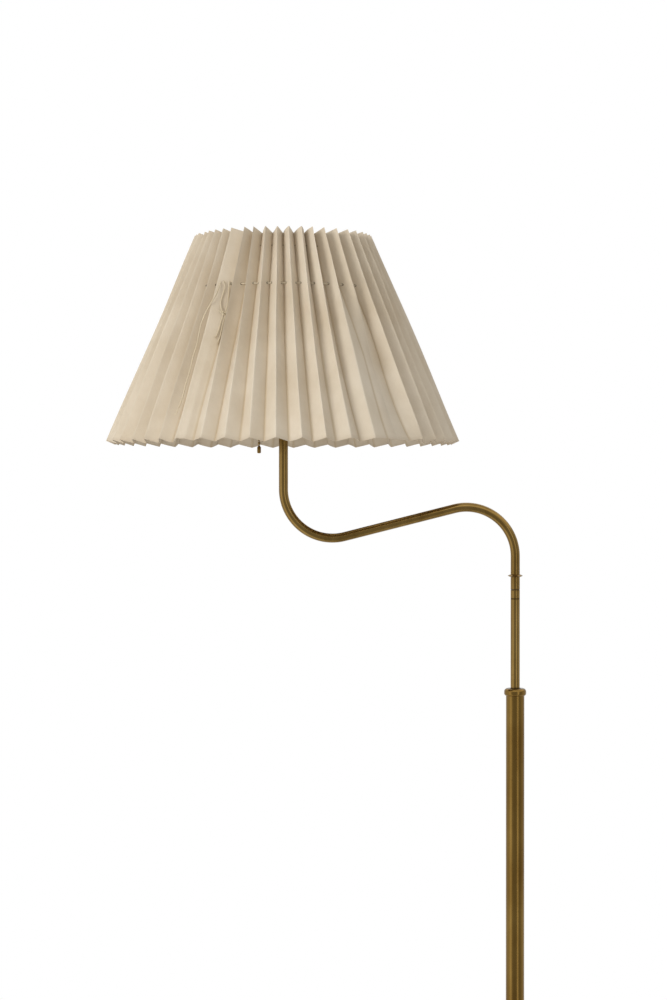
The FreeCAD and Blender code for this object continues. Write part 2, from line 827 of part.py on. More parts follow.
def holder_core():
    shelf = core_floor + size("core_height")
    corners = [
        (ON_AXIS, core_floor),
        (block_radius, core_floor),
        (block_radius, shelf),
        (size("core_middle"), shelf),
        (size("core_middle"), core_top),
        (ON_AXIS, core_top),
    ]
    kept(turned("porcelain", corners), "holder_core", x=shade_axis, z=arm_tip)


def centre_contact():
    """A sprung strip, bent up under the bulb."""
    body = doc.addObject("PartDesign::Body", "strip")
    wall = size("contact_wall")
    reach = size("contact_reach")
    lift = core_top + size("contact_lift")
    bend = reach / 3
    corners = [
        (-reach, core_top),
        (-bend, core_top),
        (bend / 2, lift),
        (bend * 2, lift),
        (bend * 2, lift + wall),
        (bend / 2 - wall, lift + wall),
        (-bend - wall, core_top + wall),
        (-reach, core_top + wall),
    ]
    profile = outline(body, "XZ_Plane", corners)
    pad = body.newObject("PartDesign::Pad", "Strip")
    pad.Profile = profile
    pad.setExpression("Length", size("contact_width").text)
    pad.Midplane = True
    doc.recompute()
    kept(body, "centre_contact", x=shade_axis, z=arm_tip)


def screw_shell():
    outer = size("shell_radius")
    bore = outer - size("shell_wall")
    top = core_top + size("shell_length")
    corners = [(bore, core_top), (outer, core_top), (outer, top), (bore, top)]
    kept(turned("threaded_shell", corners), "screw_shell", x=shade_axis, z=arm_tip)


def holder_skirt():
    bottom = size("cap_height")
    thread = size("skirt_radius")
    seat = core_top + size("grip_play")
    hollow = block_radius + size("grip_play")
    top = bottom + size("skirt_length")
    corners = [
        (hollow, bottom),
        (thread + size("skirt_grip"), bottom),
        (thread + size("skirt_grip"), bottom + size("skirt_flange")),
        (thread, bottom + size("skirt_flange")),
        (thread, top),
        (size("skirt_inner"), top),
        (size("skirt_inner"), seat),
        (hollow, seat),
    ]
    kept(turned("skirt", corners), "holder_skirt", x=shade_axis, z=arm_tip)


plate_level = size("cap_height") + size("shade_ring_level")
plate_top = plate_level + size("carrier_washer_wall")


def shade_ring(label, seat, away):
    """A flanged ring on the skirt's thread; its hub points away from the plate that it clamps."""
    bore = size("skirt_radius") + size("thread_play")
    hub = bore + size("shade_ring_hub")
    flange = size("shade_ring_radius")
    flange_back = seat + away * size("shade_ring_wall")
    hub_end = seat + away * size("shade_ring_height")
    corners = [
        (bore, seat),
        (flange, seat),
        (flange, flange_back),
        (hub, flange_back),
        (hub, hub_end),
        (bore, hub_end),
    ]
    kept(turned("ring", corners), label, x=shade_axis, z=arm_tip)


# ---------------------------------------------------------------- pull switch


def pull_guide():
    """A side tube from the switch that ends in a downward mouth for the chain."""
    bore = size("guide_bore") / 2
    outer = bore + size("guide_wall")
    level = size("guide_level")
    mouth = level - size("guide_drop")
    roof = level + size("guide_top")
    corners = [
        (bore, mouth),
        (outer + size("guide_wall") / 2, mouth),
        (outer, mouth + size("guide_wall")),
        (outer, roof),
        (ON_AXIS, roof),
        (ON_AXIS, roof - size("guide_wall")),
        (bore, roof - size("guide_wall")),
    ]
    spout = moved(turned("spout", corners), x=-size("pull_offset"))
    gap = size("pull_offset") - block_radius - bore - size("guide_wall") / 2
    side = cylinder("side_tube", size("guide_arm") / 2, gap)
    moved(side, x=-block_radius, z=level, turned_by=ALONG_MINUS_X)
    joined = doc.addObject("Part::MultiFuse", "spout_and_tube")
    joined.Shapes = [spout, side]
    doc.recompute()
    kept(joined, "pull_guide", x=shade_axis, z=arm_tip)


pull_axis = shade_axis - size("pull_offset")
chain_top = size("guide_level") - size("guide_wall") / 2
chain_length = size("bead_pitch") * size("bead_count")
chain_end = chain_top - chain_length


def pull_chain():
    """Beads on a wire: one bead and its link turned, then repeated down the chain."""
    bead = size("bead_diameter") / 2
    flat = size("bead_flat") / 2
    link = size("link_diameter") / 2
    pitch = size("bead_pitch")
    middle = -(bead + flat)
    corners = [
        (ON_AXIS, ZERO),
        (link, ZERO),
        (bead, middle + flat),
        (bead, middle - flat),
        (link, middle * 2),
        (link, -pitch),
        (ON_AXIS, -pitch),
    ]
    body = turned("beads", corners)
    bead_and_link = body.Tip
    repeat = body.newObject("PartDesign::LinearPattern", "Repeat")
    repeat.Originals = [bead_and_link]
    repeat.Direction = (origin_part(body, "Z_Axis"), [""])
    repeat.Reversed = True
    repeat.setExpression("Occurrences", size("bead_count").text)
    repeat.setExpression("Length", (chain_length - pitch).text)
    body.Tip = repeat
    doc.recompute()
    kept(body, "pull_chain", x=pull_axis, z=arm_tip + chain_top)


def pull_end():
    outer = size("pull_diameter") / 2
    length = size("pull_length")
    corners = [
        (ON_AXIS, -length),
        (outer, -length),
        (outer, -size("pull_taper")),
        (size("link_diameter") / 2, ZERO),
        (ON_AXIS, ZERO),
    ]
    kept(turned("bob", corners), "pull_end", x=pull_axis, z=arm_tip + chain_end)


# ---------------------------------------------------------------- bulb, in heights above the arm's end

bulb_floor = core_top + size("contact_lift") + size("contact_wall")
insulator_level = bulb_floor + size("bulb_contact_height")
bulb_cap_level = insulator_level + size("bulb_insulator_height")
bulb_cap_top = bulb_cap_level + size("bulb_cap_height")


def bulb_contact():
    dot = cylinder("dot", size("bulb_contact_radius"), size("bulb_contact_height"))
    kept(dot, "bulb_contact", x=shade_axis, z=arm_tip + bulb_floor)


def bulb_insulator():
    cone = doc.addObject("Part::Cone", "cone")
    cone.setExpression("Radius1", size("bulb_contact_radius").text)
    cone.setExpression("Radius2", size("bulb_insulator_radius").text)
    cone.setExpression("Height", size("bulb_insulator_height").text)
    kept(cone, "bulb_insulator", x=shade_axis, z=arm_tip + insulator_level)


def bulb_cap():
    wall = size("bulb_cap_wall")
    outer = size("bulb_cap_radius")
    floor_radius = size("bulb_insulator_radius")
    shoulder = bulb_cap_level + size("bulb_cap_cone")
    corners = [
        (ON_AXIS, bulb_cap_level),
        (floor_radius, bulb_cap_level),
        (outer, shoulder),
        (outer, bulb_cap_top),
        (outer - wall, bulb_cap_top),
        (outer - wall, shoulder),
        (floor_radius - wall, bulb_cap_level + wall),
        (ON_AXIS, bulb_cap_level + wall),
    ]
    kept(turned("screw_cap", corners), "bulb_cap", x=shade_axis, z=arm_tip)


def bulb_glass():
    """The pear-shaped glass: a neck that widens into a ball, with a wall of its own."""
    wall = size("bulb_wall")
    neck = size("bulb_cap_radius") - size("bulb_cap_wall") - size("bulb_neck_play")
    ball = size("bulb_radius")
    top = bulb_cap_top + size("bulb_height")
    low = bulb_cap_top - size("bulb_tuck")
    waist = size("bulb_waist")
    waist_level = top - ball - waist
    flank = size("bulb_flank")

    def ball_radius(radius):
        inside = radius * radius - waist * waist
        return Size(math.sqrt(inside.value), f"sqrt({inside.text})")

    corners = [
        (neck, low),
        (neck, bulb_cap_top, -flank),
        (ball_radius(ball), waist_level, ball),
        (ON_AXIS, top),
        (ON_AXIS, top - wall, wall - ball),
        (ball_radius(ball - wall), waist_level, flank),
        (neck - wall, bulb_cap_top),
        (neck - wall, low),
    ]
    kept(turned("blown_glass", corners), "bulb_glass", x=shade_axis, z=arm_tip)


# ---------------------------------------------------------------- shade

# How the front pleats have settled: azimuth of each ridge at the top edge and at the rim, in degrees
# from straight ahead, positive to the right. The ridges round the back are spread evenly.
FRONT_RIDGES = [
    (-54.2, -53.3), (-47.5, -46.7), (-39.9, -40.2), (-33.4, -33.3),
    (-24.0, -24.4), (-17.7, -16.5), (-10.3, -8.6), (-2.4, -0.9),
    (5.0, 6.9), (12.6, 14.4), (20.0, 22.2), (28.0, 30.4),
    (37.3, 38.9), (46.7, 47.3), (55.1, 54.1), (62.8, 60.3),
]
SPREAD_RIDGE = 3  # the panel to the right of this ridge is the wide one
SHADE_LEVELS = 3  # stretches down each panel, which follow its slight twist
ARC_SHARE = 0.45  # part of the shorter run that a bend's arc takes up
SECTION_SIDES = 6


def ridge_azimuths(level):
    """Azimuth of every ridge at a level, from 0 at the top edge to 1 at the rim."""
    front = [top + (rim - top) * level for top, rim in FRONT_RIDGES]
    behind = int(size("pleat_count").value) - len(front)
    gap = (front[0] + FULL_TURN - front[-1]) / (behind + 1)
    return front + [front[-1] + gap * (number + 1) for number in range(behind)]


def polar(radius, azimuth, height):
    """A point about the shade's axis; azimuth 0 is straight ahead, towards -Y."""
    angle = math.radians(azimuth)
    return Vector(radius * math.sin(angle), -radius * math.cos(angle), height)


def ridge_radius(level):
    top = size("shade_top_radius").value
    return top + (size("shade_rim_radius").value - top) * level


def ridge_row(level):
    height = size("shade_height").value * (1 - level)
    return [polar(ridge_radius(level), azimuth, height) for azimuth in ridge_azimuths(level)]


def fold_row(level):
    """Outer points of the folds at a level, ridge and valley in turn.

    The shade is one strip of equal panels. A valley lies one panel's width from the ridges on
    both sides, inwards and square to the slant, so it is deep where the ridges are close.
    """
    ridges, top, rim = ridge_row(level), ridge_row(0), ridge_row(1)
    count = len(ridges)
    girth = 2 * math.pi * size("shade_rim_radius").value
    panel = size("pleat_fullness").value * girth / (2 * count)
    row = []
    for number, ridge in enumerate(ridges):
        after = (number + 1) % count
        chord = ridges[after] - ridge
        across = Vector(chord).normalize()
        slant = (rim[number] - top[number] + rim[after] - top[after]).normalize()
        inward = across.cross(slant).normalize()
        near = panel * (size("wide_panel_ratio").value if number == SPREAD_RIDGE else 1)
        far = 2 * panel - near
        along = (chord.Length**2 + near**2 - far**2) / (2 * chord.Length)
        deep = math.sqrt(near**2 - along**2)
        row += [ridge, ridge + across * along + inward * deep]
    return row


def inner_row(row, top, rim):
    """The folds' inner points: each panel moved in by the wall, and met with its neighbours."""
    count = len(row)
    inward = []
    for fold in range(count):
        after = (fold + 1) % count
        across = row[after] - row[fold]
        slant = rim[fold] - top[fold] + rim[after] - top[after]
        inward.append(across.cross(slant).normalize())
    wall = size("shade_wall").value
    inner = []
    for fold, point in enumerate(row):
        before, here = inward[fold - 1], inward[fold]
        inner.append(point + (before + here) * (wall / (1 + before.dot(here))))
    return inner


def faceted(rows):
    """A solid of flat triangles from closed rows of points, each joined to the next.

    The second half of the rows runs back along the first half, and its diagonals match.
    """
    points = [point for row in rows for point in row]
    width = len(rows[0])
    triangles = []
    for start in range(0, len(points), width):
        onward = (start + width) % len(points)
        running_back = start * 2 >= len(points)
        for first in range(width):
            after = (first + 1) % width
            here, beside = start + first, start + after
            ahead, across = onward + first, onward + after
            if running_back:
                triangles += [(here, ahead, beside), (beside, ahead, across)]
            else:
                triangles += [(here, ahead, across), (here, across, beside)]
    net = Part.Shape()
    net.makeShapeFromMesh((points, triangles), 0.001)
    return Part.Solid(Part.Shell(net.Faces))


def string_corners():
    """Where the string turns: outside each valley, midway between two ridges.

    Each is (radius, azimuth). The straight stretch between two of them runs through one pleat.
    """
    level = size("string_drop").value / size("shade_height").value
    radius = ridge_radius(level) - size("string_inset").value
    azimuths = ridge_azimuths(level)
    corners = []
    for azimuth, after in zip(azimuths, azimuths[1:] + azimuths[:1]):
        half_gap = (after - azimuth) % FULL_TURN / 2
        corners.append((radius / math.cos(math.radians(half_gap)), azimuth + half_gap))
    return corners


def section_corner(number, radius):
    """Offsets outwards and upwards of one corner of a six-sided section."""
    angle = 2 * math.pi * number / SECTION_SIDES
    return radius * math.cos(angle), radius * math.sin(angle)


def string_holes():
    """A straight punch along each stretch of the string, through both panels of a pleat."""
    height = size("shade_height").value - size("string_drop").value
    hole = size("string_diameter").value / 2 + size("string_play").value
    spots = [polar(radius, azimuth, height) for radius, azimuth in string_corners()]
    punches = []
    for before, spot in zip(spots[-1:] + spots[:-1], spots):
        along = (spot - before).normalize()
        outward = along.cross(Vector(0, 0, 1))
        start = spot - along * hole
        corners = []
        for number in range(SECTION_SIDES + 1):
            out, up = section_corner(number, hole)
            corners.append(start + outward * out + Vector(0, 0, up))
        length = (spot - before).Length - 2 * hole
        punches.append(Part.Face(Part.makePolygon(corners)).extrude(along * -length))
    return Part.makeCompound(punches)


def shade_pleats():
    rows = [fold_row(number / SHADE_LEVELS) for number in range(SHADE_LEVELS + 1)]
    inner = [inner_row(row, rows[0], rows[-1]) for row in rows]
    folded = faceted(rows + inner[::-1])
    shade = doc.addObject("Part::Feature", "folded_strip")
    shade.Shape = folded.cut(string_holes())
    kept(shade, "shade_pleats", x=shade_axis, z=rim_level)
    return inner


def drawstring():
    """The string through the pleats, straight from valley to valley."""
    height = size("shade_height").value - size("string_drop").value
    rings = []
    for radius, azimuth in string_corners():
        ring = []
        for side in range(SECTION_SIDES):
            out, up = section_corner(side, size("string_diameter").value / 2)
            ring.append(polar(radius + out, azimuth, height + up))
        rings.append(ring)
    string = doc.addObject("Part::Feature", "string")
    string.Shape = faceted(rings)
    kept(string, "drawstring", x=shade_axis, z=rim_level)


def least_radius(rows, height):
    """Smallest distance from the axis of the folds' inner lines at a height."""
    radii = []
    for upper, lower in zip(rows, rows[1:]):
        for high, low in zip(upper, lower):
            if low.z <= height <= high.z:
                share = (high.z - height) / (high.z - low.z)
                spot = high + (low - high) * share
                radii.append(math.hypot(spot.x, spot.y))
    return min(radii)


# ---------------------------------------------------------------- shade carrier


def carrier_washer():
    bore = size("skirt_radius") + size("hole_play")
    rim = size("carrier_washer_radius")
    corners = [(bore, plate_level), (rim, plate_level), (rim, plate_top), (bore, plate_top)]
    kept(turned("plate", corners), "carrier_washer", x=shade_axis, z=arm_tip)


def carrier_ring():
    """The wire ring inside the shade, at the drawstring, that the folds rest on."""
    ring = doc.addObject("Part::Torus", "hoop")
    ring.setExpression("Radius1", size("carrier_ring_radius").text)
    ring.setExpression("Radius2", (size("carrier_wire") / 2).text)
    kept(ring, "carrier_ring", x=shade_axis, z=string_level)


def carrier_struts():
    """Wires from the plate up to the ring: a foot on the plate, a bend, and a straight rise."""
    wire = size("carrier_wire") / 2
    foot = Vector(size("strut_foot").value, 0, (plate_top + wire).value)
    bend = Vector(size("strut_bend").value, 0, foot.z)
    ring = Vector(size("carrier_ring_radius").value, 0, (string_level - arm_tip).value)
    rise = Vector(ring - bend).normalize()
    end = ring - rise * (wire + size("strut_weld")).value
    path = rounded_path([foot, bend, end])[0]
    section = Part.Wire(Part.makeCircle(wire.value, foot, Vector(1, 0, 0)))
    strut = path.makePipeShell([section], True, False)
    count = int(size("strut_count").value)
    turns = [FULL_TURN * number / count for number in range(count)]
    struts = doc.addObject("Part::Feature", "wires")
    struts.Shape = Part.makeCompound(
        [strut.rotated(Vector(), Vector(0, 0, 1), turn) for turn in turns])
    kept(struts, "carrier_struts", x=shade_axis, z=arm_tip)


def rounded_path(points):
    """Straight runs joined by tangent arcs, each as large as its two runs allow, and the radii."""
    edges = []
    radii = []
    start = points[0]
    for before, corner, after in zip(points, points[1:], points[2:]):
        back, ahead = before - corner, after - corner
        turn = math.pi - back.getAngle(ahead)
        trim = ARC_SHARE * min(back.Length, ahead.Length)
        back.normalize()
        ahead.normalize()
        radius = trim / math.tan(turn / 2)
        enter, leave = corner + back * trim, corner + ahead * trim
        inner = (back + ahead).normalize()
        middle = corner + inner * (radius / math.cos(turn / 2) - radius)
        edges.append(Part.LineSegment(start, enter).toShape())
        edges.append(Part.Arc(enter, middle, leave).toShape())
        radii.append(radius)
        start = leave
    edges.append(Part.LineSegment(start, points[-1]).toShape())
    return Part.Wire(edges), radii


# ---------------------------------------------------------------- the drawstring's tie

# Routes of its loose strands, in millimetres from the shade's axis at the rim's level. Each comes
# out of the wide panel. Two go down to the knot and end under it, one lies over the ridge beside it
# and hangs down that pleat.
TIE_LEFT = [
    (-60.0, -100.0, 163.8), (-59.4, -101.7, 163.1), (-57.9, -103.1, 158.3), (-60.5, -106.0, 148.7),
    (-62.9, -109.5, 140.2), (-61.0, -112.1, 132.9), (-59.6, -114.1, 126.6), (-62.2, -116.3, 119.4),
    (-63.4, -119.2, 112.0), (-66.7, -122.3, 104.8),
]
TIE_RIGHT = [
    (-53.9, -98.6, 163.7), (-53.6, -100.4, 163.1), (-54.6, -102.6, 157.5), (-54.3, -104.7, 148.3),
    (-55.1, -107.9, 139.8), (-56.8, -111.1, 133.0), (-57.5, -113.7, 126.7), (-60.0, -116.3, 117.8),
    (-61.4, -119.8, 108.3), (-64.3, -123.9, 98.8),
]
TIE_TAIL = [
    (-63.1, -101.0, 162.9), (-63.1, -102.8, 162.2), (-64.2, -105.1, 156.8), (-67.5, -111.0, 148.2),
    (-72.2, -112.2, 140.3), (-76.9, -109.8, 132.7), (-80.3, -109.4, 124.8), (-83.3, -110.3, 116.7),
    (-84.5, -114.4, 106.5), (-86.7, -118.7, 94.9), (-90.6, -122.4, 82.3), (-92.7, -127.4, 69.7),
    (-96.5, -131.2, 57.2), (-98.6, -135.8, 45.8), (-101.9, -139.2, 34.9), (-105.6, -141.3, 26.0),
]
KNOT_MIDDLE = (-58.7, -112.8, 129.8)
KNOT_FACES = (0.22, -0.92, 0.32)  # outwards from the panel behind the knot
KNOT_SIDES = 8
KNOT_RINGS = ((-1, 0.6), (-0.4, 1), (0.4, 1), (1, 0.6))  # share of its depth, share of its width


def strand(points, radius):
    """A six-sided tube along a route, and the radii of its bends."""
    route = [Vector(*point) for point in points]
    path, radii = rounded_path(route)
    run = (route[1] - route[0]).normalize()
    side = run.cross(Vector(0, 0, 1)).normalize()
    lift = side.cross(run)
    corners = []
    for number in range(SECTION_SIDES + 1):
        out, up = section_corner(number, radius)
        corners.append(route[0] + side * out + lift * up)
    section = Part.makePolygon(corners)
    tube = path.makePipeShell([section], True, False)
    swept = Part.Face(section).Area * path.Length
    if abs(tube.Volume / swept - 1) > 0.02:
        raise ValueError("a strand's volume isn't its section times its length")
    return tube, path.Length, radii


def tie_strand(label, points):
    tube, length, radii = strand(points, size("tie_diameter").value / 2)
    cord = doc.addObject("Part::Feature", f"{label}_strand")
    cord.Shape = tube
    kept(cord, label, x=shade_axis, z=rim_level)
    bends = ", ".join(f"{radius:.1f}" for radius in radii)
    print(f"{label}: {length:.1f} mm long, bends of radius {bends} mm")


def tie_knot():
    """The knot: flat sides like the strands', and room for the two that run through it."""
    rings = []
    for depth, share in KNOT_RINGS:
        corners = []
        for number in range(KNOT_SIDES + 1):
            angle = 2 * math.pi * number / KNOT_SIDES
            corners.append(Vector(share * size("knot_width").value / 2 * math.cos(angle),
                                  depth * size("knot_depth").value / 2,
                                  share * size("knot_height").value / 2 * math.sin(angle)))
        rings.append(Part.makePolygon(corners))
    ball = Part.makeLoft(rings, True, True)
    facing = Rotation(Vector(0, -1, 0), Vector(*KNOT_FACES))
    ball.Placement = Placement(Vector(*KNOT_MIDDLE), facing)
    room = size("tie_diameter").value / 2 + size("knot_play").value
    for route in (TIE_LEFT, TIE_RIGHT):
        ball = ball.cut(strand(route, room)[0])
    knot = doc.addObject("Part::Feature", "knot")
    knot.Shape = ball
    kept(knot, "tie_knot", x=shade_axis, z=rim_level)


# ---------------------------------------------------------------- the whole lamp

base_felt()
base_shell()
cord_gland()
base_weight()
stem_ferrule()
stem_foot()
foot_washer()
foot_nut()
tube("lower_tube", "stem_tube", stem_radius, stem_bore, size("stem_length"), base_top)
friction_bush()
stem_collar()

tube("thin_tube", "inner_tube", tube_radius, tube_bore, size("inner_length"),
     joint_line - size("inner_length"))
guide_bush()
swivel_lower()
swivel_washer()
pivot_nut()

swivel_upper()
arm_tube()
holder_locknut()
holder_cap()
switch_block()
holder_core()
centre_contact()
screw_shell()
holder_skirt()
shade_ring("shade_ring_lower", plate_level, as_size(-1))
shade_ring("shade_ring_upper", plate_top, as_size(1))
pull_guide()
pull_chain()
pull_end()
bulb_contact()
bulb_insulator()
bulb_cap()
bulb_glass()

inner_folds = shade_pleats()
drawstring()
tie_strand("tie_left", TIE_LEFT)
tie_strand("tie_right", TIE_RIGHT)
tie_strand("tie_tail", TIE_TAIL)
tie_knot()
string_height = size("shade_height").value - size("string_drop").value
fold_limit = least_radius(inner_folds, string_height)
worked_out("carrier_ring_radius",
           fold_limit - size("carrier_seat").value - size("carrier_wire").value / 2,
           "middle of the ring's wire, inside the innermost fold")
carrier_washer()
carrier_ring()
carrier_struts()

# ---------------------------------------------------------------- checks and files

doc.recompute()
for item in doc.Objects:
    if "Invalid" in item.State or "Error" in item.State:
        raise ValueError(f"{item.Label} failed: {item.State}")
for piece in pieces:
    if piece.Shape.isNull() or not piece.Shape.isValid():
        raise ValueError(f"{piece.Label} has no sound shape")
    if piece.Shape.Volume <= 0:
        raise ValueError(f"{piece.Label} has no volume")

os.makedirs("parts", exist_ok=True)
for piece in pieces:
    piece.Shape.exportStep(f"parts/{piece.Label}.step")
    bounds = piece.Shape.BoundBox
    print(f"{piece.Label}: {len(piece.Shape.Solids)} solid, {piece.Shape.Volume:.1f} mm3, "
          f"z {bounds.ZMin:.1f} to {bounds.ZMax:.1f}")
print(f"{len(pieces)} sub-parts")
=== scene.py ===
# %% [markdown]
# # A bridge floor lamp
# This lesson dresses a finished CAD model of an old brass floor lamp. The CAD part fixes every size,
# place and joint. Blender adds what a camera sees: the folded shade, the twisted drawstring, the
# worn brass. First the imported part is loaded.

import json
import math

import bpy
import bmesh
import numpy as np
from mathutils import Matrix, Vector


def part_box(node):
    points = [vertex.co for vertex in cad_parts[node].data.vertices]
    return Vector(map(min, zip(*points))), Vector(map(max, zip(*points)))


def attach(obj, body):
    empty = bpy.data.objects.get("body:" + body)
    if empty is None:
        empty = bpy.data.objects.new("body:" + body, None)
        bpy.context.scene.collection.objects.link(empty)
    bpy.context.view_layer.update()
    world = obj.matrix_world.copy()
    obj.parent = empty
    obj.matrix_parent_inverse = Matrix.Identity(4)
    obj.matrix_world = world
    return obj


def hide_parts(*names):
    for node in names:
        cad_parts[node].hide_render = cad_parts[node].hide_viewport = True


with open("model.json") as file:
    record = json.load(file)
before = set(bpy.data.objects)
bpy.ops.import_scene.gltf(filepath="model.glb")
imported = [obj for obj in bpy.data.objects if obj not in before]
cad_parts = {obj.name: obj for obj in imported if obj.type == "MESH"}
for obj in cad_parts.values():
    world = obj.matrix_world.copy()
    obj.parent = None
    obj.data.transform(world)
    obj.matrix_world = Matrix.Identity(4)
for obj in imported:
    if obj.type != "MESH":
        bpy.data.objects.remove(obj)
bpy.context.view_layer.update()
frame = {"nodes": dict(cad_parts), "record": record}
nodes = frame["nodes"]
MM = 0.001

# %% [markdown]
# ## The camera
# The photograph was taken from 2.3 m away, at the height of the arm, with the lamp's arm square to
# the view. One pixel covers 1.087 mm at the stem, and the stem stands to the right of the middle of
# the picture. The picture is 1000 pixels tall, so the lens follows from the distance and that scale.

# %% Camera
PICTURE_HEIGHT = 1000
MM_PER_PIXEL = 1.087
CAMERA_DISTANCE = 2283 * MM
CAMERA_EAST, CAMERA_HEIGHT = -197.6 * MM, 1130 * MM
HORIZON_BELOW_TOP = 485
SENSOR = 36.0


def placed(name, data):
    """An object that shows some data, linked to the scene."""
    made = bpy.data.objects.new(name, data)
    bpy.context.scene.collection.objects.link(made)
    return made


pixels_away = CAMERA_DISTANCE / (MM_PER_PIXEL * MM)
camera_data = bpy.data.cameras.new("photo_camera")
camera_data.sensor_fit = "VERTICAL"
camera_data.sensor_height = SENSOR
camera_data.lens = SENSOR * pixels_away / PICTURE_HEIGHT
camera = placed("photo_camera", camera_data)
tilt = math.atan((PICTURE_HEIGHT / 2 - HORIZON_BELOW_TOP) / pixels_away)
camera.location = (CAMERA_EAST, -CAMERA_DISTANCE, CAMERA_HEIGHT)
camera.rotation_euler = (math.pi / 2 - tilt, 0, 0)
bpy.context.scene.camera = camera
print(f"lens {camera_data.lens:.1f} mm, tilted down {math.degrees(tilt):.2f} degrees")

# %% [markdown]
# ## Nodes written as sums
# Materials and Geometry Nodes are both made of nodes. A small class wraps one output socket, so that
# an expression such as `1 - mask * 0.4` adds the Math nodes that it needs. Every other node comes
# from one method, which takes its type, its settings and what goes into its sockets.

# %% Sockets and nodes


def arithmetic(operation, reflected=False):
    """A method that adds one Math node, with its two values the other way round if reflected."""

    def method(self, value):
        return self.math(operation, *((value, self) if reflected else (self, value)))

    return method


class Signal:
    """One output of a node. Arithmetic on it adds Math nodes to the same tree."""

    def __init__(self, maker, socket):
        self.maker = maker
        self.socket = socket

    def math(self, operation, *values):
        inputs = dict(enumerate(values))
        return self.maker.node("ShaderNodeMath", {"operation": operation}, inputs)

    def other(self, name):
        """Another output of the same node."""
        return Signal(self.maker, self.socket.node.outputs[name])

    __add__, __radd__ = arithmetic("ADD"), arithmetic("ADD", reflected=True)
    __sub__, __rsub__ = arithmetic("SUBTRACT"), arithmetic("SUBTRACT", reflected=True)
    __mul__, __rmul__ = arithmetic("MULTIPLY"), arithmetic("MULTIPLY", reflected=True)
    __truediv__, __pow__ = arithmetic("DIVIDE"), arithmetic("POWER")


class Maker:
    """Adds nodes to one node tree."""

    def __init__(self, tree):
        self.tree = tree

    def node(self, kind, settings=None, values=None, output=0):
        made = self.tree.nodes.new(kind)
        for name, value in (settings or {}).items():
            if name == "stops":
                set_stops(made.color_ramp, value)
            else:
                setattr(made, name, value)
        for key, value in (values or {}).items():
            if isinstance(value, Signal):
                self.tree.links.new(value.socket, made.inputs[key])
            else:
                made.inputs[key].default_value = value
        return Signal(self, made.outputs[output]) if made.outputs else None

    def blend(self, first, second, share):
        """Two colours mixed by a share from 0 to 1."""
        values = {0: share, 6: first, 7: second}
        return self.node("ShaderNodeMix", {"data_type": "RGBA"}, values, output=2)

    def ramp(self, signal, stops):
        """A value read off straight lines between stops, each (position, grey value)."""
        return self.node("ShaderNodeValToRGB", {"stops": stops}, {0: signal})

    def split(self, vector):
        """The three parts of a vector."""
        apart = self.node("ShaderNodeSeparateXYZ", None, {0: vector})
        return apart, apart.other("Y"), apart.other("Z")


def set_stops(ramp, stops):
    """Give a colour ramp its stops, in order."""
    while len(ramp.elements) < len(stops):
        ramp.elements.new(0.5)
    for element, (position, grey) in zip(ramp.elements, stops):
        element.position = position
        element.color = (grey, grey, grey, 1)


def distance(first, second):
    """How long a line is that goes so far one way and so far square to it."""
    return (first * first + second * second) ** 0.5


class Finish(Maker):
    """A material with one Principled shader."""

    def __init__(self, name, **constants):
        self.material = bpy.data.materials.new(name)
        self.material.use_nodes = True
        super().__init__(self.material.node_tree)
        self.shader = self.tree.nodes["Principled BSDF"]
        for socket, value in constants.items():
            self.shader.inputs[socket.replace("_", " ")].default_value = value

    def feed(self, socket, signal):
        self.tree.links.new(signal.socket, self.shader.inputs[socket])

    def place(self, stretch=(1, 1, 1)):
        """Object coordinates, squeezed or stretched along the axes."""
        spot = self.node("ShaderNodeTexCoord", output="Object")
        return self.node("ShaderNodeMapping", None, {"Vector": spot, "Scale": stretch})

    def noise(self, place, scale, detail=4.0, roughness=0.55):
        values = {"Vector": place, "Scale": scale, "Detail": detail, "Roughness": roughness}
        return self.node("ShaderNodeTexNoise", None, values)

    def bumps(self, height, strength, depth):
        values = {"Height": height, "Strength": strength, "Distance": depth}
        self.feed("Normal", self.node("ShaderNodeBump", None, values, output="Normal"))


# %% [markdown]
# ## Old brass
# The metal is solid brass that was polished once and has dulled. Its tone changes in long streaks
# down the tubes and in cloudy patches, with small dark specks where it has spotted. All of that
# changes Base Color and Roughness, while Metallic stays at 1. Streaks come from a noise that is
# squeezed along the tube. At the stem's joints, grime has gathered in narrow dark bands.

# %% Brass
JOINT_HEIGHTS = (1006.4, 1016.2, 909.3)  # joint line, swivel's washer and top of the bead, in mm
GRIME_REACH = 10.0


def brass(name, dark, bright, streak, dullness):
    made = Finish(name, Metallic=1.0)
    height = made.split(made.place())[2]
    grime = None
    for joint in JOINT_HEIGHTS:
        away = height.math("ABSOLUTE", height - joint * MM) / (GRIME_REACH * MM)
        band = made.ramp(away, [(0.02, 1), (0.13, 0)])
        grime = band if grime is None else grime.math("MAXIMUM", grime, band)
    clouds = made.noise(made.place(), 9.0, 5.0, 0.6)
    streaks = made.noise(made.place((1, 1, streak)), 90.0, 4.0, 0.6)
    grain = made.noise(made.place((1, 1, 0.08)), 900.0, 2.0, 0.5)
    specks = made.ramp(made.noise(made.place(), 240.0, 3.0, 0.7), [(0.64, 0), (0.74, 1)])
    patina = made.ramp(clouds * 0.6 + streaks * 0.4, [(0.38, 0), (0.62, 1)])
    tone = made.blend(dark, bright, patina)
    tone = made.blend(tone, (0.07, 0.035, 0.012, 1), specks * 0.45)
    tone = made.blend(tone, (0.035, 0.018, 0.007, 1), grime * 0.75)
    made.feed("Base Color", tone)
    made.feed("Roughness", dullness + 0.07 * (1 - patina) + 0.05 * grain + 0.12 * specks)
    made.bumps(grain * 0.25 + specks * -0.6 + streaks * 0.5, 0.02, 0.0004)
    return made.material


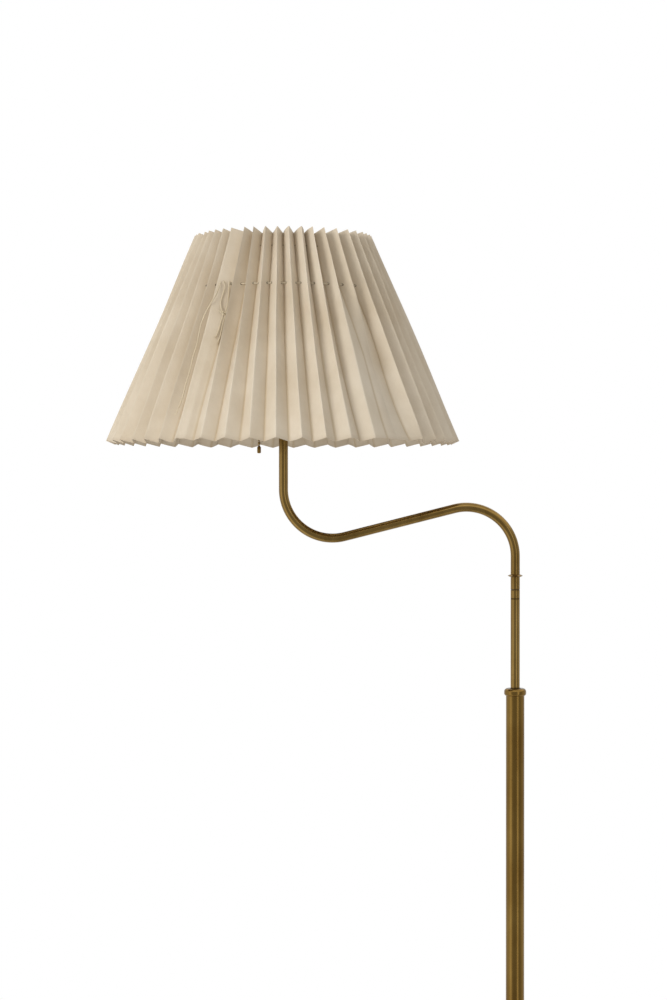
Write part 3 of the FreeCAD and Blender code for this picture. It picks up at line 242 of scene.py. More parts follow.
aged_brass = brass("aged_brass", (0.180, 0.098, 0.021, 1), (0.285, 0.176, 0.047, 1), 0.10, 0.14)
bright_brass = brass("bright_brass", (0.205, 0.120, 0.030, 1), (0.330, 0.215, 0.070, 1), 0.14, 0.13)
print("brass finishes:", aged_brass.name, bright_brass.name)

# %% [markdown]
# ## Card and cotton
# The shade is cream cloth on card. Close up it has a fine plain weave, faint mottling, and a rim
# that has greyed where hands and dust reached it. Its ridges are painted paler, partly as rubbed
# wear and partly as a painted highlight, and its valleys darker, as painted shade. Three attributes
# are stored on its mesh: `ridge` runs from 0 in a valley to 1 on a ridge, `height` from 0 at the rim
# to 1 at the top, and `string` measures, in metres, across and up from the spot where the drawstring
# pierces each panel. The last one places dark spots where the holes are: painted shade, as no hole
# is cut in the mesh.

# %% Shade card
HOLE_REACH = 4.0
PINHOLES_ABOVE = 45.0


def shade_card():
    made = Finish("cream_card", Roughness=0.82, Specular_IOR_Level=0.25)
    place = made.place()
    mottle = made.noise(place, 14.0, 5.0, 0.6)
    fibres = made.noise(made.place((1, 1, 0.25)), 900.0, 3.0, 0.6)
    cloth = made.noise(place, 2600.0, 1.0, 0.5)
    ridge = made.node("ShaderNodeAttribute", {"attribute_name": "ridge"}, output="Fac")
    down = made.node("ShaderNodeAttribute", {"attribute_name": "height"}, output="Fac")
    tone = made.blend((0.600, 0.503, 0.370, 1), (0.715, 0.628, 0.500, 1),
                      made.ramp(mottle, [(0.30, 0), (0.70, 1)]))
    # Ridges painted paler: partly rubbed wear, partly a painted highlight on the folds.
    ridge_wear_and_highlight = made.ramp(ridge, [(0.93, 0), (1.0, 1)]) * 0.30
    tone = made.blend(tone, (0.76, 0.70, 0.58, 1), ridge_wear_and_highlight)
    # Valleys painted darker: painted shade in the creases between the pleats.
    valley = made.ramp(ridge, [(0.0, 1), (0.05, 0.7), (0.15, 0)]) * 0.50
    tone = made.blend(tone, (0.42, 0.30, 0.15, 1), valley)
    edge = made.ramp(down, [(0.0, 1), (0.02, 0.2), (0.06, 0)]) * 0.35
    tone = made.blend(tone, (0.42, 0.33, 0.22, 1), edge)
    tone = made.blend(tone, (0.30, 0.23, 0.15, 1), fibres * 0.10)
    # Dark spots where the string's holes and the pinholes are: painted shade, as no hole is cut.
    tone = made.blend(tone, (0.05, 0.035, 0.02, 1), hole_shade_mask(made))
    made.feed("Base Color", tone)
    made.bumps(fibres * 0.6 + cloth * 0.4 + mottle * 0.8, 0.18, 0.0006)
    return made.material


def hole_shade_mask(made):
    """A mask of painted shade at the holes for the drawstring and at the row of pinholes above it.
    """
    spot = made.node("ShaderNodeAttribute", {"attribute_name": "string"}, output="Vector")
    across, above, from_pinhole = made.split(spot)
    hole = distance(across, above) / (HOLE_REACH * MM)
    pin = distance(from_pinhole, above - PINHOLES_ABOVE * MM) / (HOLE_REACH * MM)
    hole_shade = made.ramp(hole, [(0.26, 1), (0.36, 0)])
    small = made.ramp(pin, [(0.12, 1), (0.22, 0)])
    return hole_shade.math("MAXIMUM", hole_shade, small * 0.8)


cream_card = shade_card()


# %% Cotton


def cotton():
    made = Finish("cream_cotton", Roughness=0.9, Sheen_Weight=0.3)
    place = made.place()
    fuzz = made.noise(place, 2200.0, 3.0, 0.7)
    age = made.noise(place, 60.0, 3.0, 0.5)
    tone = made.blend((0.60, 0.49, 0.32, 1), (0.80, 0.72, 0.54, 1), age)
    made.feed("Base Color", made.blend(tone, (0.36, 0.27, 0.16, 1), fuzz * 0.35))
    made.bumps(fuzz, 0.25, 0.0001)
    return made.material


cream_cotton = cotton()
print("cloth finishes:", cream_card.name, cream_cotton.name)

# %% [markdown]
# ## The finishes that hide inside
# The other materials are seen from below, at the foot or as a fine line. Each still has its own
# grain: felt is fuzzy, cast iron is pitted, plated steel is streaked, nylon has yellowed, and
# porcelain is smooth with faint waves. One function makes them, from two tones, a grain size, how
# rough they are and how strong their bumps are.

# %% Plain finishes


def plain(name, low, high, grain, rough, bump, stretch=(1, 1, 1), **constants):
    """A finish of two mottled tones; its grain is the scale of the noise."""
    made = Finish(name, **constants)
    place = made.place(stretch)
    fine = made.noise(place, grain, 4.0, 0.6)
    broad = made.noise(place, grain / 12, 3.0, 0.5)
    mask = made.ramp(fine * 0.5 + broad * 0.5, [(0.35, 0), (0.65, 1)])
    made.feed("Base Color", made.blend((*low, 1), (*high, 1), mask))
    made.feed("Roughness", rough + 0.12 * mask)
    made.bumps(fine, bump, 0.0004)
    return made.material


FINE_STREAKS, FLAT_STREAKS = (1, 1, 0.2), (1, 1, 4)
PLAIN_FINISHES = [
    ("dark_felt", (0.012, 0.02, 0.012), (0.035, 0.05, 0.03), 900, 0.85, 0.9,
     {"Sheen_Weight": 0.4}),
    ("grey_iron", (0.06, 0.055, 0.05), (0.13, 0.12, 0.11), 300, 0.6, 0.8, {"Metallic": 0.6}),
    ("zinc_steel", (0.42, 0.42, 0.40), (0.58, 0.58, 0.55), 500, 0.32, 0.15,
     {"stretch": FINE_STREAKS, "Metallic": 1.0}),
    ("black_plastic", (0.012, 0.010, 0.009), (0.03, 0.025, 0.02), 600, 0.38, 0.1, {}),
    ("pale_nylon", (0.13, 0.085, 0.035), (0.24, 0.17, 0.08), 400, 0.5, 0.08,
     {"Subsurface_Weight": 0.05}),
    ("white_porcelain", (0.74, 0.72, 0.66), (0.82, 0.80, 0.75), 60, 0.10, 0.05, {}),
    ("solder_tin", (0.40, 0.40, 0.39), (0.56, 0.56, 0.54), 700, 0.35, 0.4, {"Metallic": 1.0}),
    ("cap_aluminium", (0.50, 0.49, 0.46), (0.62, 0.61, 0.58), 500, 0.28, 0.12,
     {"stretch": FLAT_STREAKS, "Metallic": 1.0}),
    ("black_glass", (0.008, 0.008, 0.01), (0.02, 0.02, 0.025), 200, 0.08, 0.05, {}),
    ("frosted_glass", (0.82, 0.81, 0.77), (0.88, 0.87, 0.84), 90, 0.22, 0.03,
     {"Subsurface_Weight": 0.25}),
    ("white_enamel", (0.58, 0.55, 0.48), (0.72, 0.70, 0.63), 120, 0.26, 0.12, {}),
]
finishes = {"aged_brass": aged_brass, "bright_brass": bright_brass, "cream_card": cream_card,
            "cream_cotton": cream_cotton}
for name, low, high, grain, rough, bump, details in PLAIN_FINISHES:
    finishes[name] = plain(name, low, high, grain, rough, bump, **details)
slots = {row["node"]: row["material_slot"] for row in frame["record"]["subparts"]}
for name, node in nodes.items():
    node.data.materials.clear()
    node.data.materials.append(finishes[slots[name]])
print("finishes:", len(finishes))

# %% [markdown]
# ## From points to a piece
# Most pieces start as rows of points. One function turns them into a mesh, gives it its finish and
# lets it ride on the right body. The body and the finish come from the CAD node that it replaces,
# so the new piece can't end up on the wrong side of a joint.

# %% Making a piece
body_of = {node: body for body, group in frame["record"]["behaviour"]["bodies"].items()
           for node in group}


def adopt(piece, *replaced):
    """Give a piece its body, its finish and the CAD nodes that it stands for."""
    slot = slots[replaced[0]]
    piece.data.materials.clear()
    piece.data.materials.append(finishes[slot])
    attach(piece, body_of[replaced[0]])
    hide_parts(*replaced)
    return piece


def mesh_piece(name, points, faces, sharp_above=35):
    """A smooth-shaded mesh with hard edges where it turns by more than an angle."""
    mesh = bpy.data.meshes.new(name)
    mesh.from_pydata([tuple(point) for point in points], [], faces)
    work = bmesh.new()
    work.from_mesh(mesh)
    bmesh.ops.remove_doubles(work, verts=work.verts, dist=0.002 * MM)
    bmesh.ops.recalc_face_normals(work, faces=work.faces)
    work.to_mesh(mesh)
    work.free()
    mesh.shade_smooth()
    mesh.set_sharp_from_angle(angle=math.radians(sharp_above))
    return placed(name, mesh)


def ring_faces(rings, sides, start=0, flip=False):
    """Four-sided faces between closed rings of points that follow each other."""
    faces = []
    for ring in range(rings - 1):
        for corner in range(sides):
            here = start + ring * sides
            after = here + (corner + 1) % sides
            face = (here + corner, after, after + sides, here + corner + sides)
            faces.append(face[::-1] if flip else face)
    return faces


def edge_faces(first, second, sides):
    """Four-sided faces between two rings that start at any two points."""
    turns = [(corner, (corner + 1) % sides) for corner in range(sides)]
    return [(first + here, first + after, second + after, second + here) for here, after in turns]


def triangles(piece):
    return sum(len(face.vertices) - 2 for face in piece.data.polygons)


# %% [markdown]
# ## Turned pieces
# Tubes, bead, swivel, holder and ferrule are all turned: a profile of (radius, height) corners, in
# millimetres, spun about an upright axis. A corner may carry the radius of the arc that leads to
# the next one. On a real lathe no edge stays knife sharp, so each plain corner is eased a little,
# and that thin rounding is what catches the light in a render.

# %% Turning
ARC_STEP = math.radians(5)
LEAST_TURN = math.radians(15)  # a corner that turns by less is left as it is
ON_AXIS = 1e-6


def arc_points(start, end, radius):
    """Points of an arc between two corners, turning left if the radius is positive."""
    start, end = np.array(start, float), np.array(end, float)
    chord = end - start
    half = np.linalg.norm(chord) / 2
    across = np.array([-chord[1], chord[0]]) / (2 * half)
    centre = (start + end) / 2 + across * math.copysign(
        math.sqrt(max(radius**2 - half**2, 0)), radius)
    first = math.atan2(*(start - centre)[::-1])
    sweep = 2 * math.asin(min(half / abs(radius), 1)) * math.copysign(1, radius)
    count = max(2, int(abs(sweep) / ARC_STEP) + 1)
    return [centre + abs(radius) * np.array([math.cos(first + sweep * i / count),
                                            math.sin(first + sweep * i / count)])
            for i in range(1, count)]


def profile_points(corners, easing):
    """The profile as a closed list of points, with its plain corners eased."""
    line = []
    for number, corner in enumerate(corners):
        after = corners[(number + 1) % len(corners)]
        line.append((np.array(corner[:2], float), True))
        if len(corner) > 2:
            line += [(point, False) for point in arc_points(corner[:2], after[:2], corner[2])]
    eased = []
    for number, (point, is_corner) in enumerate(line):
        back = line[number - 1][0] - point
        ahead = line[(number + 1) % len(line)][0] - point
        lengths = np.linalg.norm(back), np.linalg.norm(ahead)
        turn = math.acos(np.clip(-back @ ahead / (lengths[0] * lengths[1]), -1, 1))
        if not is_corner or turn < LEAST_TURN or point[0] < ON_AXIS:
            eased.append(point)
            continue
        trim = min(easing, 0.4 * lengths[0], 0.4 * lengths[1])
        enter, leave = point + back / lengths[0] * trim, point + ahead / lengths[1] * trim
        for share in (0, 0.33, 0.67, 1):
            eased.append((1 - share) ** 2 * enter + 2 * share * (1 - share) * point
                         + share**2 * leave)
    return np.array(eased)


def turned(name, corners, axis=(0, 0), level=0.0, segments=72, easing=0.25, waves=None):
    """Spin a profile in millimetres about an upright axis at (x, y), raised by a level."""
    line = profile_points(corners, easing)
    angles = np.linspace(0, 2 * math.pi, segments, endpoint=False)
    points = []
    for angle in angles:
        radius, height = line[:, 0], line[:, 1]
        if waves:
            radius = radius + waves(angle, radius, height)
        points.append(np.stack([axis[0] + radius * math.cos(angle),
                                axis[1] + radius * math.sin(angle), level + height], axis=1))
    count = len(line)
    faces = []
    for turn in range(segments):
        here, there = turn * count, (turn + 1) % segments * count
        for step in range(count):
            after = (step + 1) % count
            if line[step][0] < ON_AXIS and line[after][0] < ON_AXIS:
                continue
            faces.append((here + step, there + step, there + after, here + after))
    return mesh_piece(name, np.concatenate(points) * MM, faces)


# %% [markdown]
# ## Sizes from the CAD
# A turned piece has to fill the place of its CAD node. Its outer radius, its foot and its top are
# read from the node's box, so that only the details of its profile are written here.

# %% Reading sizes


def measured(node):
    """Outer radius, bottom and top of an upright CAD node, in millimetres."""
    low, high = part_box(node)
    return (high.y - low.y) / 2 / MM, low.z / MM, high.z / MM


cap_low, cap_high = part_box("holder_cap")
SHADE_AXIS = ((cap_low.x + cap_high.x) / 2 / MM, 0.0)
TUBE_RADIUS, ARM_FOOT, ARM_TIP = measured("arm_tube")
RIM_BELOW_ARM_TIP = 34.3
RIM_LEVEL = ARM_TIP - RIM_BELOW_ARM_TIP
SHADE_HEIGHT = 222.3
print(f"shade's axis at x {SHADE_AXIS[0]:.1f}, arm's end at {ARM_TIP:.1f} mm")

# %% [markdown]
# ## Twisted cord
# The drawstring is thin cotton of three strands. In Geometry Nodes a line becomes a rope when its
# profile has three lobes and turns as it goes along: the tilt of each point is its distance from
# the start times the number of turns per metre. The same tree makes the long drawstring, the loose
# ends of its tie and the knot.

# %% A tree that twists a cord
CORD_SIDES = 18


def new_tree(name, **inputs):
    """A maker for a new Geometry Nodes tree with these inputs, and its first input."""
    tree = bpy.data.node_groups.new(name, "GeometryNodeTree")
    for label, kind in inputs.items():
        tree.interface.new_socket(label, in_out="INPUT", socket_type=f"NodeSocket{kind}")
    tree.interface.new_socket("Mesh", in_out="OUTPUT", socket_type="NodeSocketGeometry")
    made = Maker(tree)
    return made, made.node("NodeGroupInput")


def ended(made, mesh, finish):
    """The tree, ended by real geometry with its material."""
    whole = made.node("GeometryNodeRealizeInstances", None, {"Geometry": mesh})
    dressed = made.node("GeometryNodeSetMaterial", None, {"Geometry": whole, "Material": finish})
    made.node("NodeGroupOutput", None, {"Mesh": dressed})
    return made.tree


def cord_tree():
    made, given = new_tree("twisted_cord", Line="Geometry", Radius="Float", Turns="Float",
                           Spacing="Float", Finish="Material")
    fine = made.node("GeometryNodeResampleCurve", {"mode": "LENGTH"},
                     {"Curve": given, "Length": given.other("Spacing")})
    along = made.node("GeometryNodeSplineParameter", output="Length")
    tilt = along * given.other("Turns") * (2 * math.pi)
    turned_line = made.node("GeometryNodeSetCurveTilt", None, {"Curve": fine, "Tilt": tilt})
    round_line = made.node("GeometryNodeCurvePrimitiveCircle", None,
                           {"Resolution": CORD_SIDES, "Radius": 1.0})
    step = made.node("GeometryNodeInputIndex") * (2 * math.pi / CORD_SIDES)
    lobes = 0.84 + 0.16 * step.math("ABSOLUTE", step.math("COSINE", step * 1.5))
    spot = made.node("GeometryNodeInputPosition")
    scaled = made.node("ShaderNodeVectorMath", {"operation": "SCALE"},
                       {0: spot, "Scale": lobes * given.other("Radius")})
    strands = made.node("GeometryNodeSetPosition", None,
                        {"Geometry": round_line, "Position": scaled})
    tube = made.node("GeometryNodeCurveToMesh", None,
                     {"Curve": turned_line, "Profile Curve": strands, "Fill Caps": True})
    return ended(made, tube, given.other("Finish"))


def grown(name, source, tree, **inputs):
    """The plain mesh that a tree makes from a source object, which is then removed."""
    modifier = source.modifiers.new("grow", "NODES")
    modifier.node_group = tree
    for item in tree.interface.items_tree:
        if item.in_out == "INPUT" and item.name in inputs:
            modifier[item.identifier] = inputs[item.name]
    bpy.context.view_layer.update()
    seen = source.evaluated_get(bpy.context.evaluated_depsgraph_get())
    mesh = bpy.data.meshes.new_from_object(seen)
    mesh.shade_smooth()
    bpy.data.objects.remove(source)
    return placed(name, mesh)


twisted_cord = cord_tree()

# %% [markdown]
# ## The tie
# The drawstring's ends come out of the wide panel, run through one knot and hang down. A third,
# longer end lies over the ridge beside them and drops down the next pleat. The points are in
# millimetres from the shade's axis, at the level of its rim.

# %% The loose ends
TIE_DIAMETER, TIE_TURNS = 1.3, 420.0
TIE_LEFT = [
    (-60.0, -100.0, 163.8), (-59.4, -101.7, 163.1), (-57.9, -103.1, 158.3), (-60.5, -106.0, 148.7),
    (-62.9, -109.5, 140.2), (-61.0, -112.1, 132.9), (-59.6, -114.1, 126.6), (-62.2, -116.3, 119.4),
    (-63.4, -119.2, 112.0), (-66.7, -122.3, 104.8),
]
TIE_RIGHT = [
    (-53.9, -98.6, 163.7), (-53.6, -100.4, 163.1), (-54.6, -102.6, 157.5), (-54.3, -104.7, 148.3),
    (-55.1, -107.9, 139.8), (-56.8, -111.1, 133.0), (-57.5, -113.7, 126.7), (-60.0, -116.3, 117.8),
    (-61.4, -119.8, 108.3), (-64.3, -123.9, 98.8),
]
TIE_TAIL = [
    (-63.1, -101.0, 162.9), (-63.1, -102.8, 162.2), (-64.2, -105.1, 156.8), (-67.5, -111.0, 148.2),
    (-72.2, -112.2, 140.3), (-76.9, -109.8, 132.7), (-80.3, -109.4, 124.8), (-83.3, -110.3, 116.7),
    (-84.5, -114.4, 106.5), (-86.7, -118.7, 94.9), (-90.6, -122.4, 82.3), (-92.7, -127.4, 69.7),
    (-96.5, -131.2, 57.2), (-98.6, -135.8, 45.8), (-101.9, -139.2, 34.9), (-105.6, -141.3, 26.0),
]


def shade_place(point):
    """A point given from the shade's axis at its rim, in metres in the frame."""
    return Vector((SHADE_AXIS[0] + point[0], point[1], RIM_LEVEL + point[2])) * MM


def curve_line(name, points, kind="NURBS"):
    """A curve object with points in metres: a smooth open line, or straight runs that close."""
    data = bpy.data.curves.new(name, "CURVE")
    data.dimensions = "3D"
    data.resolution_u = 12
    spline = data.splines.new(kind)
    spline.points.add(len(points) - 1)
    for control, point in zip(spline.points, points):
        control.co = (*point, 1)
    if kind == "NURBS":
        spline.order_u = 3
        spline.use_endpoint_u = True
    else:
        spline.use_cyclic_u = True
    return placed(name, data)


def followed(line):
    """The points that a curve with no bevel runs through."""
    bpy.context.view_layer.update()
    seen = line.evaluated_get(bpy.context.evaluated_depsgraph_get())
    mesh = bpy.data.meshes.new_from_object(seen)
    points = [vertex.co.copy() for vertex in mesh.vertices]
    bpy.data.meshes.remove(mesh)
    return points


loose_ends = {}
for name, route in (("tie_left", TIE_LEFT), ("tie_right", TIE_RIGHT), ("tie_tail", TIE_TAIL)):
    line = curve_line(name, [shade_place(point) for point in route])
    path = followed(line)
    length = sum((after - before).length for before, after in zip(path, path[1:]))
    strand = grown(f"{name}_cord", line, twisted_cord, Radius=TIE_DIAMETER / 2 * MM,
                   Turns=TIE_TURNS, Spacing=0.35 * MM, Finish=cream_cotton)
    loose_ends[name] = (adopt(strand, name), path, length)
    print(f"{name}: {length / MM:.1f} mm, {triangles(strand)} triangles")

# %% [markdown]
# ## The knot and the frayed tips
# The knot is a trefoil, the simplest knot there is, pressed flat against the shade round the two
# strands. A trefoil has a formula, so its line comes from sines. The tips are frayed: a few thin
# fibres spread from the end of each strand, in the direction in which it points.

# %% Knot
KNOT_MIDDLE = Vector((-58.7, -112.8, 129.8))
KNOT_OUTWARD = Vector((0.22, -0.92, 0.32)).normalized()
KNOT_HALF_WIDTH, KNOT_HALF_HEIGHT, KNOT_PROUD, KNOT_WEAVE = 3.1, 1.7, 0.9, 0.7
KNOT_POINTS, KNOT_CLOSED = 60, 0.97
FORMULA_WIDE, FORMULA_TALL = 2.64, 3  # how far the trefoil's own formula reaches


def knot_line():
    """Points round a flat trefoil, almost closed."""
    across = KNOT_OUTWARD.cross(Vector((0, 0, 1))).normalized()
    upward = across.cross(KNOT_OUTWARD)
    points = []
    for step in range(KNOT_POINTS):
        angle = 2 * math.pi * step / (KNOT_POINTS - 1) * KNOT_CLOSED
        wide = (math.sin(angle) + 2 * math.sin(2 * angle)) / FORMULA_WIDE * KNOT_HALF_WIDTH
        tall = (math.cos(angle) - 2 * math.cos(2 * angle)) / FORMULA_TALL * KNOT_HALF_HEIGHT
        deep = KNOT_PROUD - math.sin(3 * angle) * KNOT_WEAVE
        points.append(KNOT_MIDDLE + across * wide + upward * tall + KNOT_OUTWARD * deep)
    return [shade_place(point) for point in points]


knot = grown("tie_knot_cord", curve_line("knot", knot_line()), twisted_cord, Radius=0.62 * MM,
             Turns=TIE_TURNS, Spacing=0.3 * MM, Finish=cream_cotton)
adopt(knot, "tie_knot")
print(f"knot: {triangles(knot)} triangles")


# %% Frayed tips
FIBRE_STEPS, FIBRE_SIDES = 4, 4
FIBRE_RADIUS, FIBRE_TAPER = 0.17, 0.6
FIBRE_SPREAD, FIBRE_BEND, FIBRE_SCATTER = 0.28, 0.5, 0.2
WHISKER_ROOT, WHISKER_WAY = (-61.2, -114.6, 131.6), Vector((-1, -0.12, 0.12))


def frayed(name, tip, direction, seed, count=9, reach=3.6):
    """Thin fibres that spread from a cut end, in one mesh."""
    random = np.random.default_rng(seed)
    points, faces = [], []
    for _ in range(count):
        spread = Vector(random.normal(0, FIBRE_SPREAD, 3))
        way = (direction + spread).normalized()
        side = way.orthogonal().normalized()
        other = way.cross(side)
        length = reach * random.uniform(0.45, 1.0)
        bend = Vector(random.normal(0, FIBRE_BEND, 3))
        start = tip + (side * random.normal(0, FIBRE_SCATTER)
                       + other * random.normal(0, FIBRE_SCATTER)) * MM
        first = len(points)
        for step in range(FIBRE_STEPS + 1):
            share = step / FIBRE_STEPS
            middle = start + (way * length * share + bend * share**2) * MM
            width = FIBRE_RADIUS * (1 - FIBRE_TAPER * share) * MM
            for corner in range(FIBRE_SIDES):
                angle = 2 * math.pi * corner / FIBRE_SIDES
                points.append(middle + (side * math.cos(angle) + other * math.sin(angle)) * width)
        faces += ring_faces(FIBRE_STEPS + 1, FIBRE_SIDES, first)
        last = first + FIBRE_STEPS * FIBRE_SIDES
        faces.append(tuple(first + corner for corner in reversed(range(FIBRE_SIDES))))
        faces.append(tuple(last + corner for corner in range(FIBRE_SIDES)))
    return mesh_piece(name, points, faces)


whisker = frayed("knot_whisker", shade_place(WHISKER_ROOT), WHISKER_WAY, 7, reach=6.5)
for seed, (name, (strand, path, length)) in enumerate(loose_ends.items()):
    tip = frayed(f"{name}_fray", path[-1], (path[-1] - path[-4]).normalized(), seed)
    carried = [tip, knot, whisker] if name == "tie_left" else [tip]
    for piece in carried:
        if piece is not knot:
            piece.data.materials.append(cream_cotton)
            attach(piece, "arm")
    print(f"{name} ends in {triangles(tip)} triangles of fibres")

# %% [markdown]
# ## The pleats
# The shade is one strip of card, folded to and fro into 46 pleats and gathered to a smaller circle
# at the top. All its panels are equally wide, so where two ridges stand close the valley between
# them is deep, and where they stand apart it is shallow. That rule gives the whole form: only the
# ridges' places are chosen. The ones in front are read from the photograph, and the rest are even.

# %% Where the folds lie
SHADE_TOP_RADIUS, SHADE_RIM_RADIUS = 95.7, 191.9
PLEATS = 46
FULLNESS = 1.26
WIDE_PANEL, SPREAD_RIDGE, OPEN_RIDGE = 1.18, 3, 11
LEAST_DEPTH, LEAST_OPEN_DEPTH = 1.0, 2.0
CARD = 0.45
STRING_DROP, STRING_INSET = 61.0, 11.0
FRONT_RIDGES = [
    (-54.2, -53.3), (-47.5, -46.7), (-39.9, -40.2), (-33.4, -33.3),
    (-24.0, -24.4), (-17.7, -16.5), (-10.3, -8.6), (-2.4, -0.9),
    (5.0, 6.9), (12.6, 14.4), (20.0, 22.2), (28.0, 30.4),
    (37.3, 39.5), (46.7, 50.0), (55.1, 57.4), (62.8, 64.0),
]
PANEL = FULLNESS * math.pi * SHADE_RIM_RADIUS / PLEATS


def ridge_azimuths(level):
    """Azimuth of every ridge, in degrees from straight ahead, at a level from 0 (top) to 1."""
    front = [top + (rim - top) * level for top, rim in FRONT_RIDGES]
    behind = PLEATS - len(front)
    gap = (front[0] + 360 - front[-1]) / (behind + 1)
    return np.array(front + [front[-1] + gap * (step + 1) for step in range(behind)])


def ridge_radius(level):
    return SHADE_TOP_RADIUS + (SHADE_RIM_RADIUS - SHADE_TOP_RADIUS) * level


def around(radius, azimuth, height):
    angle = np.radians(azimuth)
    return np.stack([radius * np.sin(angle), -radius * np.cos(angle),
                     np.broadcast_to(height, np.shape(angle))], axis=-1)


def unit(rows):
    return rows / np.linalg.norm(rows, axis=-1, keepdims=True)


def ridge_row(level):
    return around(ridge_radius(level), ridge_azimuths(level), SHADE_HEIGHT * (1 - level))


def fold_row(level):
    """Ridge and valley points in turn, by the rule of equal panels."""
    ridges, top, rim = ridge_row(level), ridge_row(0), ridge_row(1)
    after = np.roll(ridges, -1, axis=0)
    slant = unit(rim - top + np.roll(rim - top, -1, axis=0))
    chord = np.linalg.norm(after - ridges, axis=1, keepdims=True)
    across = (after - ridges) / chord
    inward = unit(np.cross(across, slant))
    near = np.full((PLEATS, 1), PANEL)
    near[SPREAD_RIDGE] *= WIDE_PANEL
    far = 2 * PANEL - near
    along = (chord**2 + near**2 - far**2) / (2 * chord)
    deep = np.sqrt(np.maximum(near**2 - along**2, LEAST_DEPTH**2))
    valleys = ridges + across * along + inward * deep
    return np.stack([ridges, valleys], axis=1).reshape(-1, 3)


print(f"panels {PANEL:.1f} mm wide, ridges {360 / PLEATS:.1f} degrees apart on average")

# %% [markdown]
# ## Card, not paper
# Exact folds look like a drawing. Real card is stiff and old: folds are rounded, panels bow a
# little, ridges wander and no two pleats match. So each panel is a small grid whose outline is
# rounded at the folds, and slow random waves push it about by a fraction of a millimetre. The wave
# at the valleys only goes outwards, because the wire ring inside touches them. The wide panel has a
# soft crease, which starts below the knot and grows towards the rim. To the right, one pleat has
# been pulled nearly flat over its lower half, so three of its panels lie in one line there.

# %% The folded sheet
ACROSS = [0.05, 0.14, 0.28, 0.43, 0.58, 0.73, 0.87, 0.95]
LEVELS = 44
FOLD_SOFTNESS = 0.45
SHEET_SEED = 46
WANDER, SIDEWAYS, BOW, WIDE_PANEL_BOW = 0.28, 0.30, 0.35, 0.1
CREASE_HEIGHT, CREASE_FROM, CREASE_MIDDLE, CREASE_WIDTH = 2.2, 0.5, 0.52, 0.16
OPEN_FROM, OPEN_OVER = 0.25, 0.35
PINHOLE_FROM_VALLEY = 1.2


def open_pleat(folds, level):
    """Flatten one pleat: three panels come into line, and the fourth turns back to its ridge."""
    first = 2 * OPEN_RIDGE
    start, end = folds[first], folds[first + 4]
    chord = np.linalg.norm(end - start)
    share = np.clip((level - OPEN_FROM) / OPEN_OVER, 0, 1)
    near, far = 3 * PANEL, PANEL
    if share == 0 or chord < near - far:
        return folds
    across = (end - start) / chord
    inward = unit(np.cross(across, unit(ridge_row(1) - ridge_row(0))[OPEN_RIDGE]))
    along = (chord**2 + near**2 - far**2) / (2 * chord)
    deep = math.sqrt(max(near**2 - along**2, LEAST_OPEN_DEPTH**2))
    valley = start + across * along + inward * deep
    folds = folds.copy()
    for step, part in ((1, 1 / 3), (2, 2 / 3), (3, 1)):
        aim = start + (valley - start) * part
        folds[first + step] += share * (aim - folds[first + step])
    return folds


def waves(random, count, levels, size):
    """Slow random waves down each of some lines."""
    total = np.zeros((len(levels), count))
    for turns in (0.6, 1.3, 2.4):
        phase = random.uniform(0, 2 * math.pi, count)
        strength = random.normal(0, size / turns, count)
        total += strength * np.sin(2 * math.pi * turns * levels[:, None] + phase)
    return total


def sheet_rows(folds, levels):
    """Points of the outer face, row by row."""
    random = np.random.default_rng(SHEET_SEED)
    outward = unit(folds * (1, 1, 0))
    wander = waves(random, folds.shape[1], levels, WANDER)
    wander[:, 1::2] = np.abs(wander[:, 1::2])
    sideways = waves(random, folds.shape[1], levels, SIDEWAYS)
    tangent = np.cross(outward, (0, 0, 1.0))
    folds = folds + outward * wander[..., None] + tangent * sideways[..., None]
    after = np.roll(folds, -1, axis=1)
    bow = waves(random, folds.shape[1], levels, BOW)
    crease = np.zeros_like(bow)
    wide = 2 * SPREAD_RIDGE
    bow[:, wide] *= WIDE_PANEL_BOW
    growth = np.clip((levels - CREASE_FROM) / (1 - CREASE_FROM), 0, 1)
    crease[:, wide] = CREASE_HEIGHT * growth**0.8
    panel_way = unit(after - folds)
    down_way = unit(np.gradient(folds, axis=0) + np.gradient(after, axis=0))
    normal = unit(np.cross(down_way, panel_way))
    columns = []
    for share in [0.0] + ACROSS:
        point = folds + (after - folds) * share
        lift = bow * math.sin(math.pi * share)
        lift = lift + crease * math.exp(-((share - CREASE_MIDDLE) / CREASE_WIDTH) ** 2)
        columns.append(point + normal * lift[..., None])
    first, last = columns[1], np.roll(columns[-1], 1, axis=1)
    columns[0] = columns[0] + FOLD_SOFTNESS * ((first + last) / 2 - columns[0])
    return np.stack(columns, axis=2).reshape(len(levels), -1, 3)


def string_marks(folds, levels):
    """For each point, in metres: how far across its panel and up from the string's hole it lies.

    The third number is its distance from a pinhole beside the valley.
    """
    height = SHADE_HEIGHT - STRING_DROP
    radii = np.hypot(folds[..., 0], folds[..., 1])
    here = np.array([np.interp(-height, -folds[:, fold, 2], radii[:, fold])
                     for fold in range(folds.shape[1])])
    string = ridge_radius(STRING_DROP / SHADE_HEIGHT) - STRING_INSET
    hole = np.clip((string - here) / (np.roll(here, -1) - here), 0.05, 0.95)
    after = np.roll(folds, -1, axis=1)
    width = np.linalg.norm(after - folds, axis=2)
    slant = math.hypot(SHADE_HEIGHT, SHADE_RIM_RADIUS - SHADE_TOP_RADIUS) / SHADE_HEIGHT
    is_ridge = np.arange(folds.shape[1]) % 2 == 0
    marks = []
    for share in [0.0] + ACROSS:
        level_here = folds[..., 2] + (after - folds)[..., 2] * share
        from_valley = np.where(is_ridge, 1 - share, share) * width
        marks.append(np.stack([(share - hole) * width, (level_here - height) * slant,
                               from_valley - PINHOLE_FROM_VALLEY], axis=-1))
    return np.stack(marks, axis=2).reshape(len(levels), -1, 3) * MM


def store(mesh, name, values, kind="FLOAT", part="value"):
    """A value or a vector for every point of a mesh."""
    layer = mesh.attributes.new(name, kind, "POINT")
    layer.data.foreach_set(part, np.asarray(values, np.float32).ravel())


